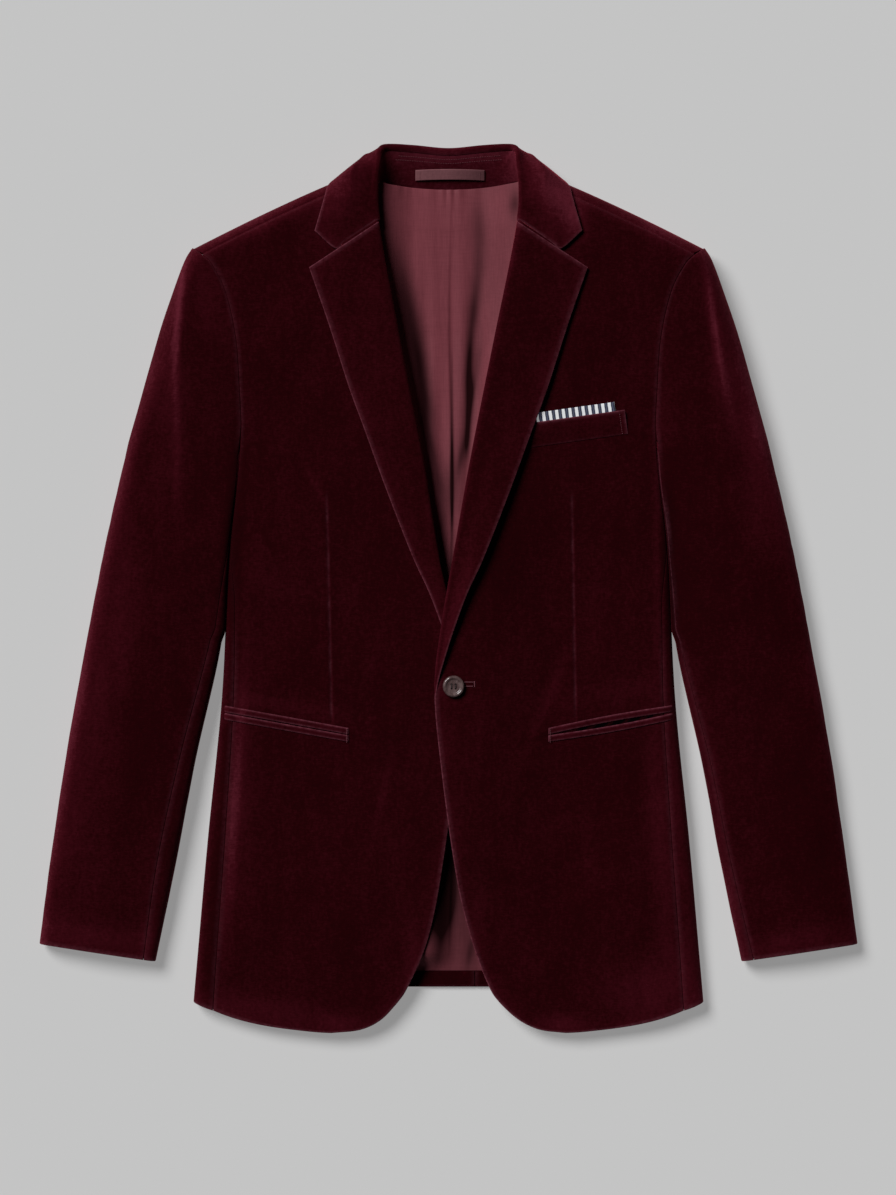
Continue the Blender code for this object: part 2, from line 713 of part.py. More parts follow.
def jet_rows(side, upper):
    """One jet of a hip pocket, from its inner end round to the side of the body."""
    lift = LAID_ON + TRIM_WALL
    roll_x = read(BODY, "half_width", MOUTH_AT.y) - read(BODY, "corner", MOUTH_AT.y)
    outer_x = roll_x + read(BODY, "corner", MOUTH_AT.y) * JET_WRAP
    xs = [blend(JET_INNER_X, roll_x, step / JET_STEPS) for step in range(JET_STEPS)]
    xs += [blend(roll_x, outer_x, step / JET_TURN_STEPS) for step in range(JET_TURN_STEPS + 1)]
    rows = []
    for across in range(3):
        row = []
        for x in xs:
            share = ramp_line(x, JET_INNER_X, outer_x)
            mouth = MOUTH_AT.y + (x - MOUTH_AT.x) * MOUTH_SLOPE
            gap = blend(JET_END_GAP, MOUTH_GAP[side] / 2, math.sin(math.pi * share))
            offset = gap + JET_HEIGHT * across / 2 if upper else -gap - JET_HEIGHT * (1.0 - across / 2)
            row.append(body_skin(x, mouth + offset, side, lift))
        rows.append(row)
    return rows


def chest_strip(start_share, end_share, low, high, lifts):
    """A strip on the left front along the breast pocket's mouth, between two offsets from it."""
    along = (WELT_OUTER - WELT_INNER).normalized()
    upwards = Vector((-along.y, along.x))
    rows = []
    for across in range(STRIP_ROWS + 1):
        row = []
        for step in range(STRIP_STEPS + 1):
            mouth = WELT_INNER.lerp(WELT_OUTER, blend(start_share, end_share, step / STRIP_STEPS))
            place = mouth + upwards * blend(low, high, across / STRIP_ROWS)
            lift = blend(*lifts, across / STRIP_ROWS)
            row.append(raised(place, front_height(place.x, place.y, LEFT) + lift))
        rows.append(row)
    return rows


def loop_rows():
    """The hanger loop, standing a little off the collar stand between its sewn ends."""
    sections = [stand_section(blend(LOOP_REACH, 1.0, step / 2)) for step in range(3)]
    low = curve([section[0] for section in sections])
    high = curve([section[-1] for section in sections])
    rows = []
    for across in range(3):
        row = []
        for step in range(LOOP_STEPS + 1):
            x = blend(-LOOP_HALF_LENGTH, LOOP_HALF_LENGTH, step / LOOP_STEPS)
            away = 1.0 - abs(x) / sections[0][0].x
            bottom, top = low(away), high(away)
            face = (top - bottom).normalized()
            normal = Vector((0.0, -face.z, face.y)).normalized()
            bow = LOOP_BOW * (1.0 - (x / LOOP_HALF_LENGTH) ** 2)
            place = bottom.lerp(top, blend(*LOOP_SHARES, across / 2))
            place += normal * (LAID_ON + LINING_WALL + bow)
            row.append(Vector((x, place.y, place.z)))
        rows.append(row)
    return rows


def material(name, look):
    """A Principled material for one piece."""
    made = bpy.data.materials.new(name)
    made.use_nodes = True
    shader = made.node_tree.nodes["Principled BSDF"]
    shader.inputs["Base Color"].default_value = (*look.colour, 1.0)
    shader.inputs["Roughness"].default_value = look.roughness
    shader.inputs["Metallic"].default_value = look.metallic
    return made


def add_object(name, mesh, look):
    """Link a mesh as a named piece of the blazer with its own material."""
    piece = bpy.data.objects.new(name, mesh)
    mesh.materials.append(material(name, look))
    PARTS.objects.link(piece)
    return piece


def cloth(name, rows, wall, look, side=LEFT):
    """A piece of cloth: a grid of points on its face, mirrored for the right side, with its wall behind."""
    shape = bmesh.new()
    grid = []
    for row in rows:
        points = row if side == LEFT else row[::-1]
        grid.append([shape.verts.new((side * point.x, point.y, point.z)) for point in points])
    for low, high in zip(grid, grid[1:]):
        for column in range(len(low) - 1):
            shape.faces.new((low[column], low[column + 1], high[column + 1], high[column]))
    mesh = bpy.data.meshes.new(name)
    shape.to_mesh(mesh)
    shape.free()
    mesh.shade_smooth()
    piece = add_object(name, mesh, look)
    solid = piece.modifiers.new("wall", "SOLIDIFY")
    solid.thickness = wall
    solid.offset = -1.0
    return piece


def button():
    """The front button: a turned disc with a raised rim, and four holes."""
    profile = bmesh.new()
    points = [profile.verts.new((row.radius, 0.0, row.height)) for row in BUTTON]
    for start, end in zip(points, points[1:]):
        profile.edges.new((start, end))
    mesh = bpy.data.meshes.new("button")
    profile.to_mesh(mesh)
    profile.free()
    piece = add_object("button", mesh, HORN)
    turn = piece.modifiers.new("turn", "SCREW")
    turn.steps = BUTTON_STEPS
    turn.render_steps = BUTTON_STEPS
    turn.use_merge_vertices = True
    turn.merge_threshold = BUTTON_WELD
    rim = max(row.radius for row in BUTTON)
    corners = [BUTTON_AT + Vector(way) * rim for way in ((1, 0), (-1, 0), (0, 1), (0, -1))]
    seat = max(front_height(corner.x, corner.y, LEFT) for corner in corners)
    piece.location = raised(BUTTON_AT, seat + LAID_ON)
    holes = bmesh.new()
    for across in (-1, 1):
        for along in (-1, 1):
            made = bmesh.ops.create_cone(
                holes,
                cap_ends=True,
                segments=8,
                radius1=BUTTON_HOLE_RADIUS,
                radius2=BUTTON_HOLE_RADIUS,
                depth=4 * BUTTON[0].height,
            )
            offset = Vector((across, along, 0.0)) * BUTTON_HOLE_OFFSET
            bmesh.ops.translate(holes, verts=made["verts"], vec=offset)
    cutter_mesh = bpy.data.meshes.new("button_holes")
    holes.to_mesh(cutter_mesh)
    holes.free()
    cutter = bpy.data.objects.new("button_holes", cutter_mesh)
    cutter.location = piece.location
    cutter.hide_render = True
    cutter.display_type = "WIRE"
    CUTTERS.objects.link(cutter)
    cut = piece.modifiers.new("holes", "BOOLEAN")
    cut.operation = "DIFFERENCE"
    cut.object = cutter
    return piece


def collection(name):
    """A new collection in the scene."""
    made = bpy.data.collections.new(name)
    bpy.context.scene.collection.children.link(made)
    return made


for old in list(bpy.data.objects):
    bpy.data.objects.remove(old)
PARTS = collection("blazer")
CUTTERS = collection("cutters")

for hand, hand_name in NAMES.items():
    cloth("front_" + hand_name, front_rows(hand), VELVET_WALL, VELVET, hand)
    cloth("side_panel_" + hand_name, side_panel_rows(), VELVET_WALL, VELVET, hand)
    cloth("back_" + hand_name, back_rows(), VELVET_WALL, VELVET, hand)
    cloth("back_hem_" + hand_name, back_hem_rows(hand), TRIM_WALL, VELVET, hand)
    cloth("lapel_" + hand_name, lapel_rows(hand), VELVET_WALL, VELVET, hand)
    cloth("top_sleeve_" + hand_name, top_sleeve_rows(), VELVET_WALL, VELVET, hand)
    cloth("under_sleeve_" + hand_name, under_sleeve_rows(), VELVET_WALL, VELVET, hand)
    cloth("jet_upper_" + hand_name, jet_rows(hand, True), TRIM_WALL, VELVET, hand)
    cloth("jet_lower_" + hand_name, jet_rows(hand, False), TRIM_WALL, VELVET, hand)

FALL_SHARES = [step / COLLAR_ROWS for step in range(COLLAR_ROWS + 1)]
STAND_SHARES = [blend(STAND_SHARE, 1.0, step / STAND_ROWS) for step in range(STAND_ROWS + 1)]
cloth("collar_fall", both_halves(FALL_SHARES, collar_section), VELVET_WALL, VELVET)
cloth("collar_stand", both_halves(STAND_SHARES, stand_section), VELVET_WALL, VELVET)
cloth("back_lining", lining_rows(), LINING_WALL, SATIN)
cloth("hanger_loop", loop_rows(), LINING_WALL, SATIN)

FLAT_LIFT = LAID_ON + TRIM_WALL
WELT_ROWS = chest_strip(0, 1, -WELT_HEIGHT, 0, (FLAT_LIFT, FLAT_LIFT + WELT_LIFT))
INSERT_ROWS = chest_strip(*INSERT_SHARES, -INSERT_BELOW, INSERT_ABOVE, (FLAT_LIFT, FLAT_LIFT))
cloth("breast_welt", WELT_ROWS, TRIM_WALL, VELVET)
cloth("pocket_insert", INSERT_ROWS, TRIM_WALL, STRIPED)
button()
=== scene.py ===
"""Looks of the velvet blazer laid flat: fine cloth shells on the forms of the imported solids.

Metres, +Z up. The jacket lies on the plane z = 0 with its collar towards +Y and the wearer's left
towards +X. Each shell is a grid of points on the face that shows, with its wall behind it and a
rounded rim. Shapes are worked out for the wearer's left side, with x counted outwards from the
middle, and mirrored for the right side.
"""

import math
from collections import namedtuple
from functools import partial

import bmesh
import bpy
import numpy as np
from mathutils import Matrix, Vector


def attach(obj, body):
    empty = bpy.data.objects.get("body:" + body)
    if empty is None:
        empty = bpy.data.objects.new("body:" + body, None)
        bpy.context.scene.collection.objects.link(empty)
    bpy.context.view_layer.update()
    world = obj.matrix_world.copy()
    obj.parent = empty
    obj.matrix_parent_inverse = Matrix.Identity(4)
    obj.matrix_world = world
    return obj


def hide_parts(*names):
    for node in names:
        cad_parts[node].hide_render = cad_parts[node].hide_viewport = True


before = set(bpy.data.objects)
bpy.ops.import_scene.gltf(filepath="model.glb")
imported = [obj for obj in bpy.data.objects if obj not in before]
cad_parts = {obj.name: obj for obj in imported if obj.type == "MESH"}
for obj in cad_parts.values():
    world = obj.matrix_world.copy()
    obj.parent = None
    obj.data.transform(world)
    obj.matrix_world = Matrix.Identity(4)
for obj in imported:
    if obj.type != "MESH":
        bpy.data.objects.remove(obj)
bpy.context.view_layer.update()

MM = 0.001


def mm(*values):
    """A few lengths, written in millimetres and kept in metres."""
    return tuple(value * MM for value in values)


LEFT = 1
RIGHT = -1
NAMES = {LEFT: "left", RIGHT: "right"}

# Walls and clearances
VELVET_WALL = 2.0 * MM
LINING_WALL = 1.0 * MM
TRIM_WALL = 1.2 * MM
SEAM = 0.3 * MM
LAID_ON = 0.5 * MM

# Places along the jacket, counted from the middle of its length
SIDE_HEM = -384.0 * MM
BACK_HEM = -367.6 * MM
LINING_HEM = -352.7 * MM
LINING_TOP = 368.0 * MM
UNDERARM = 119.0 * MM
UNDERARM_END = 152.0 * MM

# Hem: its bow along a front, its drop towards the side seam, its lift from there to the outline, and how
# far up the jacket they reach
HEM_BOW = 5.7 * MM
HEM_BOW_ROWS = 4
HEM_DROP = 4.6 * MM
HEM_DROP_FROM = 0.2
HEM_LIFT = 2.6 * MM
HEM_LIFT_POWER = 1.2
HEM_RUN = 70.0 * MM
VENT_X = 24.5 * MM
HEM_END_X = 140.0 * MM

# Sleeve against the body: how far it goes in, and where it starts to touch
TOUCH = 0.3 * MM
TOUCH_RUN = mm(-50, -36)

# Tapes under the seams
TAPE_WIDTH = 4.0 * MM
TAPE_COLUMNS = 5
TAPE_DEPTH = 0.6 * MM
TAPE_NAP = 0.1
TAPED = ("front", "side_panel", "back", "lapel", "top_sleeve")
FOREARM_TAPE_END = 136.0 * MM
GORGE_TAPE_SHORT = 3.0 * MM

# Back: where its rows turn from straight across to the slope of the shoulder, and its level hem
BACK_RISE = 20.0 * MM
BACK_TOP_ROW = 352.0 * MM
BACK_HEM_RUN = 150.0 * MM
BACK_HEM_TURN = mm(100, 190)
BACK_HEM_SPREAD = 0.6
BACK_ROWS = 34
BACK_ARM_SHARE = 7 / 8
BACK_TURN_ROWS = 15

# Shoulder: its outline in plan, and the roll that turns the front over into the back
SHOULDER_NECK = np.array((109.5, 371.4)) * MM
SHOULDER_TIP = np.array((229.6, 316.0)) * MM
SHOULDER_ROLL = 17.5 * MM
SHOULDER_ALONG = (SHOULDER_TIP - SHOULDER_NECK) / np.linalg.norm(SHOULDER_TIP - SHOULDER_NECK)
SHOULDER_OUT = np.array((-SHOULDER_ALONG[1], SHOULDER_ALONG[0]))
SHOULDER_BULGE = 2.4 * MM
BULGE_RUN = mm(74, 228)
BULGE_POWER = 0.8
BULGE_DEPTH = (SHOULDER_ROLL / 2, 4 * SHOULDER_ROLL)
SEAM_ANGLE = math.radians(150)
BACK_SEAM_ANGLE = math.radians(149.6)
ARMHOLE_LEAN = 7.5 * MM
ARMHOLE_LEAN_POWER = 8
ARMHOLE_LEAN_LEAST = -0.2
SHOULDER_PARTS = (0.0, 0.12, 0.5, 1.0)
NECK_ROLL = 12.0 * MM
NECK_TURN = mm(45, 76)
NECK_POINT = np.array((70.5, 379.3)) * MM
ARM_POINT = np.array((224.4, 308.0)) * MM

# Closure: the left front lies over the right one, raised near the middle and flat again up and down
OVERLAP = 8.0 * MM
OVERLAP_ACROSS = mm(20, 110)
OVERLAP_STARTS = mm(-340, -240)
OVERLAP_ENDS = mm(40, 200)
BUTTON_AT = np.array((4.7, -89.5)) * MM
BUTTON_HOLE_RADIUS = 0.9 * MM
BUTTON_HOLE_OFFSET = 1.9 * MM
BUTTON_HOLE_DEPTH = 12.0 * MM
BUTTON_HOLE_CORNERS = 20
BUTTON_CORNERS = 72
BUTTON_STEPS = 60
BUTTON_SHARP = math.radians(40)
BUTTON_THREAD_HALF = 2.3 * MM

# Lapels
LAPEL_FOOT = -98.0 * MM
LAPEL_TOP = 337.5 * MM
LAPEL_FOOT_RADIUS = 3.0 * MM
LAPEL_TOP_RADIUS = 4.0 * MM
LAPEL_OPENS = mm(-106, -66)
LAPEL_RUN_IN = mm(-100, -86)

# Collar
COLLAR_RADIUS = mm(4, 2.6)
COLLAR_RADIUS_SHARES = (0.2, 0.5)
COLLAR_LEAN = math.radians(153)
COLLAR_ROOM = 4.2 * MM
COLLAR_ROOM_LENGTH = mm(235, 335)
COLLAR_ROOM_WIDTH = mm(115, 165)
COLLAR_TUCK = mm(0.8, 4)
COLLAR_TUCK_SHARES = (0.25, 0.7)
COLLAR_FALL_SHARES = (0.4, 0.8)
STAND_SHARE = 0.36
STAND_OVERLAP = 1.0 * MM
STAND_DEPTH = 0.5 * MM

# Pockets
JET_HEIGHT = 6.2 * MM
JET_INNER_X = 92.0 * MM
JET_WRAP = 1.2
JET_END_GAP = 0.3 * MM
JET_STEP = 0.7 * MM
JET_STAND = 0.7 * MM
JET_PADDING = 0.35 * MM
JET_SETTLES = mm(16, 3)
JET_SINK = 0.4 * MM
MOUTH_AT = np.array((97.3, -133.4)) * MM
MOUTH_SLOPE = 0.18
MOUTH_GAP = {LEFT: 3.6 * MM, RIGHT: 0.8 * MM}
WELT_INNER = np.array((66.0, 151.0)) * MM
WELT_OUTER = np.array((162.0, 164.5)) * MM
WELT_HEIGHT = 22.5 * MM
FLAT_LIFT = LAID_ON + TRIM_WALL
WELT_LIFTS = (0.6 * MM, FLAT_LIFT + 2.2 * MM)
INSERT_SHARES = (0.16, 0.91)
INSERT_ABOVE = 8.6 * MM
INSERT_BELOW = 7.0 * MM
INSERT_LIFTS = (FLAT_LIFT, FLAT_LIFT)
STRIPE_PITCH = 6.1 * MM

# Hanger loop
LOOP_HALF_LENGTH = 31.9 * MM
LOOP_MIDDLE = 1.4 * MM
LOOP_EDGES = mm(376, 385.5)
LOOP_RISE = 0.9 * MM
LOOP_REACH = 0.80
LOOP_BOW = 1.2 * MM
LOOP_STEP = 1.2 * MM
LOOP_CROSS_STEP = 0.9 * MM

# Spacing of the solids' rows, kept here so that the shells follow the same forms
SIDE_ROWS = 15
ARM_SPACING = 1.25
EDGE_STEPS = 96
EDGE_SPACING = 1.35
UNDERARM_SHARE = 0.70

# Grids of the shells: steps along the cloth, and lengths that the steps are counted on
STEP = 3.6 * MM
COARSE_STEP = 6.0 * MM
FINE_STEP = 2.0 * MM
LAPEL_STEP = 1.4 * FINE_STEP
SIDE_RUN = 503.0 * MM
ARM_RUN = 260.0 * MM
SLEEVE_RUN = 480.0 * MM
LAPEL_RUN = 430.0 * MM
COLLAR_RUN = 150.0 * MM
STAND_RUN = 75.0 * MM
STAND_ACROSS = 20.0 * MM
LOOP_ACROSS = 10.0 * MM
BACK_ACROSS = 200.0 * MM
ARC_STEPS = 18
FLAT_STEPS = 40
HALF_TURN = np.radians(np.linspace(-90.0, 90.0, 2 * ARC_STEPS))
LEAST_SLANT = 0.22
MIRRORED = (-1.0, 1.0, 1.0)
FAR = 9.0
POINTS_AT_ONCE = 2000

# Rims: the radius a rim is rounded to, and how strongly the line along it shows, part wear and part painted
# sheen
Rim = namedtuple("Rim", "radius line")
FREE = Rim(1.3 * MM, 1.0)
SEWN = Rim(0.6 * MM, 0.18)
TUCKED = Rim(0.6 * MM, 0.0)
ROUND = 1.0 - np.cos(np.radians((0.0, 22.5, 45.0, 67.5, 90.0)))
RIM_STEPS = len(ROUND) - 1
BORDERS = (np.s_[0], np.s_[-1], np.s_[:, 0], np.s_[:, -1])
RIM_REACH = 26
LINE_WIDTH = 1.1 * MM
# Width of the painted sheen halo beside a rim
HALO_WIDTH = 7.0 * MM
# Painted sheen where the cloth turns away from the top, and how fast it grows with the turn
SHEEN_ON_TURNS = 0.6
BENT_POWER = 1.4

# Where the sleeve and the body press together under the arm, along the jacket and across, and what is
# left of a line and its painted sheen halo there. On the left sleeve, whose roll catches the light, the
# line there is a stronger and finer painted highlight, and the cloth beside it gets painted shade
PRESSED_FROM = mm(-80, -20)
PRESSED_TO = mm(115, 150)
PRESSED_ACROSS = mm(170, 185)
PRESSED_LINE = 0.15
PRESSED_HALO = 0.15
LEFT_ROLL_HIGHLIGHT = 4.6
LEFT_LINE_POWER = 7.0
LEFT_SHADE = 0.6
LEFT_SHADE_POWER = 0.8


def table(columns, *rows):
    """A short table with named columns, written in millimetres and kept in metres, one array a column."""
    kind = namedtuple("Table", columns)
    return kind(*(np.array(rows, float).T * MM))


# Body sections: half of the outline's width, the height at the side and in the middle, the radius of
# the side's roll, and the side panel's reach underneath
BODY = table(
    "y half_width side_height mid_height corner flap",
    (-412, 237, 17, 17, 8, 45),
    (-382, 235.2, 17.5, 18, 8, 45),
    (-232, 222.2, 20, 21, 9, 42),
    (-100, 209, 22, 24, 9.5, 40),
    (36, 202, 26, 28, 7, 25),
    (119, 192.7, 29, 32, 3.2, 8),
    (200, 191.5, 32, 36, 3.2, 8),
    (290, 210, 35, 38, 3.2, 8),
    (400, 230, 36, 36, 3.2, 8),
)

# The side seam's distance from the outline, as far as the fold under the arm
SIDE_SEAM = table(
    "y distance",
    (-412, 18.5), (-382, 18.5), (-232, 16.5), (-140, 13), (-100, 11.4), (-40, 9.2), (-8, 8),
    (16, 4.4), (36, 1.4), (70, 0.9), (119, 0.9), (152, 0.9),
)
FOLD_DISTANCE = 0.9 * MM
FOLD_CORNER = 3.2 * MM
FOLD_REACH = 8.0 * MM
FOLD_SINK = 3.5 * MM
FOLD_LEAST = 0.03

# Free edge of each front, from the lowest point of its hem up to the neck, where it is the lapel's fold
FRONT_EDGE = table(
    "y left right",
    (-409.3, 108, 108), (-406.4, 84.3, 81), (-397.9, 65.8, 63), (-384, 49.8, 49.3),
    (-370.5, 39.3, 39.3), (-328, 22.6, 20.5), (-272, 8.5, 8), (-157, -7.7, -7.7),
    (-88, -12.9, -12.9), (-28, -6, -4), (27, 3.5, 8), (114, 18.9, 22),
    (230, 41.4, 44), (338, 62.7, 63.5), (379.3, 65.9, 65.9),
)

# Outer edge of a lapel, and how far its face stands above the front there
LAPEL_EDGE = table(
    "y x left right",
    (-97, -11.9, 0.3, 0.3), (-84, -8.9, 2.4, 2.2), (-70, -5, 5, 3.2), (-39, 4.7, 8, 3.2),
    (-4, 17.6, 9.8, 3.2), (27, 32, 10.2, 3.2), (91, 57.1, 9.2, 3.4), (147, 77.5, 7.4, 3.6),
    (183, 90.7, 6.4, 3.8), (246, 111, 4.8, 4), (295, 128, 4, 4),
)

# Armhole seam from the underarm to the end of the shoulder seam, and the sleeve head's outline beside it
ARMHOLE = table(
    "x y head_x head_y",
    (189.8, 119, 294.9, 135.2), (190.2, 150, 288, 160), (191.6, 180, 280.5, 187),
    (195, 230, 267, 234.5), (204.5, 273, 254.3, 272), (216.6, 297.2, 243.2, 301.8),
    (225.6, 307.4, 236, 314.2),
)

# Sleeve sections from the cuff to the underarm: both ends of the outline, the height, the radius of the
# inner roll, and the under sleeve's reach underneath
SLEEVE = table(
    "inner_x inner_y outer_x outer_y height corner hindarm",
    (270.3, -343.5, 377.5, -327.3, 20, 8.5, 80),
    (252, -256, 364.8, -233.5, 22, 9, 75),
    (233.3, -158, 349.6, -134.8, 24, 9.5, 70),
    (209, -47.1, 328.6, -20, 26, 9, 58),
    (203.8, 36, 313.5, 55, 28, 6.5, 30),
    (195.6, 119, 294.9, 135.2, 29, 3.2, 8),
)

# The forearm seam's distance from the inner outline, at the same sections
FOREARM = table(
    "left right",
    (11, 10.7), (8.8, 16.5), (7.2, 14), (4.4, 9.7), (1.2, 1.4), (0.9, 0.9),
)
SLEEVE_CROWN = 3.0 * MM
SLEEVE_CROWN_WIDTH = mm(45, 100)
SLEEVE_ROLL_GROWS = (UNDERARM, 190.0 * MM)
SLEEVE_CROWDING = 1.6
SLEEVE_UNDER_STEPS = 9

# Where the sleeves' folds start above the cuff, how much of them goes in the head, and how much shows below
CUFF_CALM = mm(-340, -300)
HEAD_CALM = mm(250, 300)
HEAD_CALMED = 0.75
FOLDS_BELOW = 0.5

# Collar sections from the gorge seam to the centre back: the fold, a point half way down, the edge
COLLAR = table(
    "fold_x fold_y fold_z mid_x mid_y mid_z edge_x edge_y edge_z",
    (62.4, 337.9, 38.2, 102.8, 311.7, 41.2, 123, 328.7, 40.2),
    (64, 352, 38.8, 95, 345, 43.4, 118, 346, 40.6),
    (64.5, 367, 39.6, 90, 367, 44.4, 114, 361, 38.4),
    (64.5, 381, 40.5, 88, 386, 42.6, 111.4, 371, 29.4),
    (63.8, 393, 40, 81, 396, 30, 103, 377.5, 9),
    (63.6, 403.6, 37, 75, 401, 15, 83, 373, 0.5),
    (55.6, 408.4, 31, 60, 400, 6, 62, 364, 0.3),
    (32, 408, 27, 34, 396, 4, 37, 358, 0.3),
    (0, 405.5, 25, 0, 394, 3.6, 0, 356, 0.3),
)

# Neck seam under the collar stand, from its front end to the centre back
NECK_SEAM = table(
    "x y z",
    (65, 374, 31), (61, 374, 24), (54, 372.6, 17.5), (41, 370.4, 12.6),
    (22, 367.6, 11.4), (0, 366.8, 11.2),
)

# Top edge of the back, from the centre to the neck point, and the height it turns up to
BACK_NECK = table(
    "x y z",
    (0, 376, 4.8), (35, 376.5, 5), (50, 377.5, 7.5), (60, 378.5, 15),
)

# Half of the lining's width
LINING = table(
    "y half_width",
    (-360, 150), (240, 150), (300, 128), (345, 84), (372, 67),
)

# How far the lining stands up: towards the neck seam, in the neck opening, at its sides, which widen
# towards the neck, and in the cutaway
LINING_COLUMNS = 151
LINING_CROWDING = 0.6
LINING_RISE = 38.0 * MM
LINING_UNDER_SEAM = 1.4 * MM
LINING_LIFT = 8.0 * MM
LINING_LIFT_LENGTH = (0.0, 90.0 * MM)
LINING_SIDE_RISE = 13.0 * MM
SIDE_RISE_LENGTH = mm(60, 300)
SIDE_RISE_FROM = mm(14, 30)
SIDE_RISE_TO = mm(40, 66)
CUTAWAY_RISE = 11.5 * MM
CUTAWAY_ACROSS = mm(-8, 22)
CUTAWAY_STARTS = mm(-354, -334)
CUTAWAY_ENDS = mm(-200, -100)

# Gathers along the lining's neck seam, and the seam's sweep down to the middle
GATHER_HEIGHT = 0.5 * MM
GATHER_RUN = 9.0 * MM
SWEEP = 6.5 * MM
SWEEP_WIDTH = 65.0 * MM
SWEEP_RUN = 60.0 * MM

# Standing folds of the lining: place at the hem and at the neck, half widths either side, height
FOLDS = table(
    "x_hem x_neck width_left width_right height",
    (-38, -40, 9, 10, 2.4), (-18, -30, 8, 8, 2.2), (-10, -16, 7, 7, 2.2), (-0.5, 1, 9, 2, 1.8),
    (12, 11, 7, 7, 2.4), (38, 38, 9, 12, 3.6),
)

# Shares of the lining's length where the folds start, and where and how much they flatten; their wander
FOLDS_START = (0.0, 0.10)
FOLDS_FLATTEN = (0.74, 1.0)
FOLDS_FLATTENED = 0.8
FOLDS_WANDER = 1.6 * MM

# Soft patches: place, half width, half length, lean of the length in degrees, and amount in thousandths
PATCH = "x y half_width half_length lean amount"

# Painted shade on the satin, which is also made duller there: deep inside, beside the lapels and under the
# fronts
PAINTED_SATIN_SHADE = table(
    PATCH,
    (-60, 335, 7, 34, 3, 520), (-43, 285, 9.5, 34, 9, 480), (-33.5, 245, 9.5, 34, 10, 600),
    (-26.5, 208, 8.4, 28, 10, 640), (-21, 172, 6.8, 26, 11, 680), (-16, 130, 4, 20, 12, 560),
    (27, 335, 7, 26, 0, 400), (27, 292, 6, 30, -5, 420), (23, 255, 5, 24, -5, 560),
    (19.3, 215, 3.5, 24, -3, 620), (19.2, 185, 3.4, 18, 0, 640), (18.6, 162, 3.2, 18, -3, 720),
    (17.4, 136, 2.8, 18, -3, 760), (12, 124, 3, 18, -8, 420), (19, 195, 10, 52, -4, 360),
    (9, 120, 7, 36, -6, 300), (3.2, 190, 1.1, 34, 0, 420), (3.1, 122, 1.7, 44, 0, 900),
    (3.2, 72, 1.3, 26, 0, 650), (0, 88, 12, 30, 0, 420), (46, 300, 15, 80, -8, 160),
    (61, 354, 5.5, 12, 0, 560), (32, 382, 26, 12, 0, 430), (14, -322, 60, 62, 0, 530),
    (27.5, 211, 4, 20, -6, 230), (23, 183, 3, 14, -6, 300), (-23, 156, 5, 16, 12, 320),
    (-9, 100, 4, 14, 10, 240), (34, 325, 26, 70, 0, 75), (-1, -262, 14, 40, -3, 940),
    (-8, -299, 10, 20, -12, 840), (-8, -330, 4, 24, -10, 260), (20, -336, 4, 18, -10, 320),
)

# Button profile from the middle of its face, over the rim, to the middle of its back
BUTTON = table(
    "radius height",
    (0, 2.45), (4, 2.45), (6.2, 2.6), (7.2, 3.35), (8, 3.7), (8.8, 3.6), (9.6, 2.9), (10, 1.9),
    (9.6, 1), (8.6, 0.4), (5.5, 0.05), (0, 0),
)

# A stitch's sections: share of its length, and thickness and height as shares of the thread's radius
STITCH = ((0.0, 0.35, -0.4), (0.2, 0.9, 0.6), (0.5, 1.0, 1.0), (0.8, 0.9, 0.6), (1.0, 0.35, -0.4))
THREAD_CORNERS = 6
THREAD_PROBE = 0.1 * MM

# How seams are sewn: pitch of the stitches, share of the pitch that shows, radius of the thread
Sewing = namedtuple("Sewing", "pitch share radius")
BUTTON_SEWING = Sewing(2 * BUTTON_THREAD_HALF, 1.0, 0.5 * MM)
HOLE_SEWING = Sewing(1.1 * MM, 1.3, 0.38 * MM)
TACK_SEWING = Sewing(1.5 * MM, 0.8, 0.28 * MM)
STAND_SEWING = Sewing(2.2 * MM, 0.62, 0.2 * MM)
LOOP_SEWING = Sewing(1.3 * MM, 0.7, 0.2 * MM)
WELT_SEWING = Sewing(2.0 * MM, 0.6, 0.2 * MM)
HOLE_THREAD_LIFT = 0.2 * MM

# Columns of the grids that the other stitches run along, and how far they run on the collar stand
STAND_COLUMNS = (-6, -7)
STAND_STITCHES_END = 50.0 * MM
LOOP_COLUMNS = ((7, "right"), (-8, "left"))
WELT_COLUMN = -7

# Buttonhole, bar by bar, and the tack at the inner end of a hip pocket
BAR_STEPS = 12
HOLE_BARS = table(
    "x0 x1 y0 y1",
    (14.4, 24.6, -85.6, -85.6), (16, 22.6, -89.4, -89.4), (24, 24, -84.6, -90.2),
)
TACK_X = JET_INNER_X + 1.6 * MM
TACK_Y = mm(-141.6, -127.4)
TACK_LIFT = FLAT_LIFT + 0.3 * MM

# Darts of the fronts: both ends of the line
DARTS = {
    LEFT: np.array(((113.2, 92.0), (116.9, -117.0))) * MM,
    RIGHT: np.array(((112.3, 92.0), (107.6, -119.0))) * MM,
}
DART_DEPTH = 0.9 * MM
DART_WIDTH = 1.3 * MM
DART_STARTS = (-0.02, 0.25)
DART_ENDS = (1.0, 1.03)
DART_SWELL = 0.5
DART_SWELL_WIDTH = 5 * DART_WIDTH
DART_COLUMNS = np.array((-6.0, -3.2, -1.8, -0.9, 0.0, 0.9, 1.8, 3.2, 6.0)) * MM
DART_RANGE = (0.2, 0.8)
INNER_COLUMNS = 32
OUTER_COLUMNS = 24

# The worn line along a dart: its strength, how much that varies, and the shares where it starts and ends
MARK = 0.18
MARK_VARIES = 0.14
MARK_WAVES = (90.0, 230.0)
MARK_PHASE = 2.0
MARK_STARTS = (-0.02, 0.1)
MARK_ENDS = (0.96, 1.02)

# Slight unevenness of cloth laid flat, wave by wave: height in millimetres, turn across and along in
# radians a metre, and phase
DRAPE_WAVES = (
    (0.42, 41, 17, 0.6), (0.34, -23, 33, 2.1), (0.24, 87, -61, 4), (0.18, 49, 104, 1.3),
)

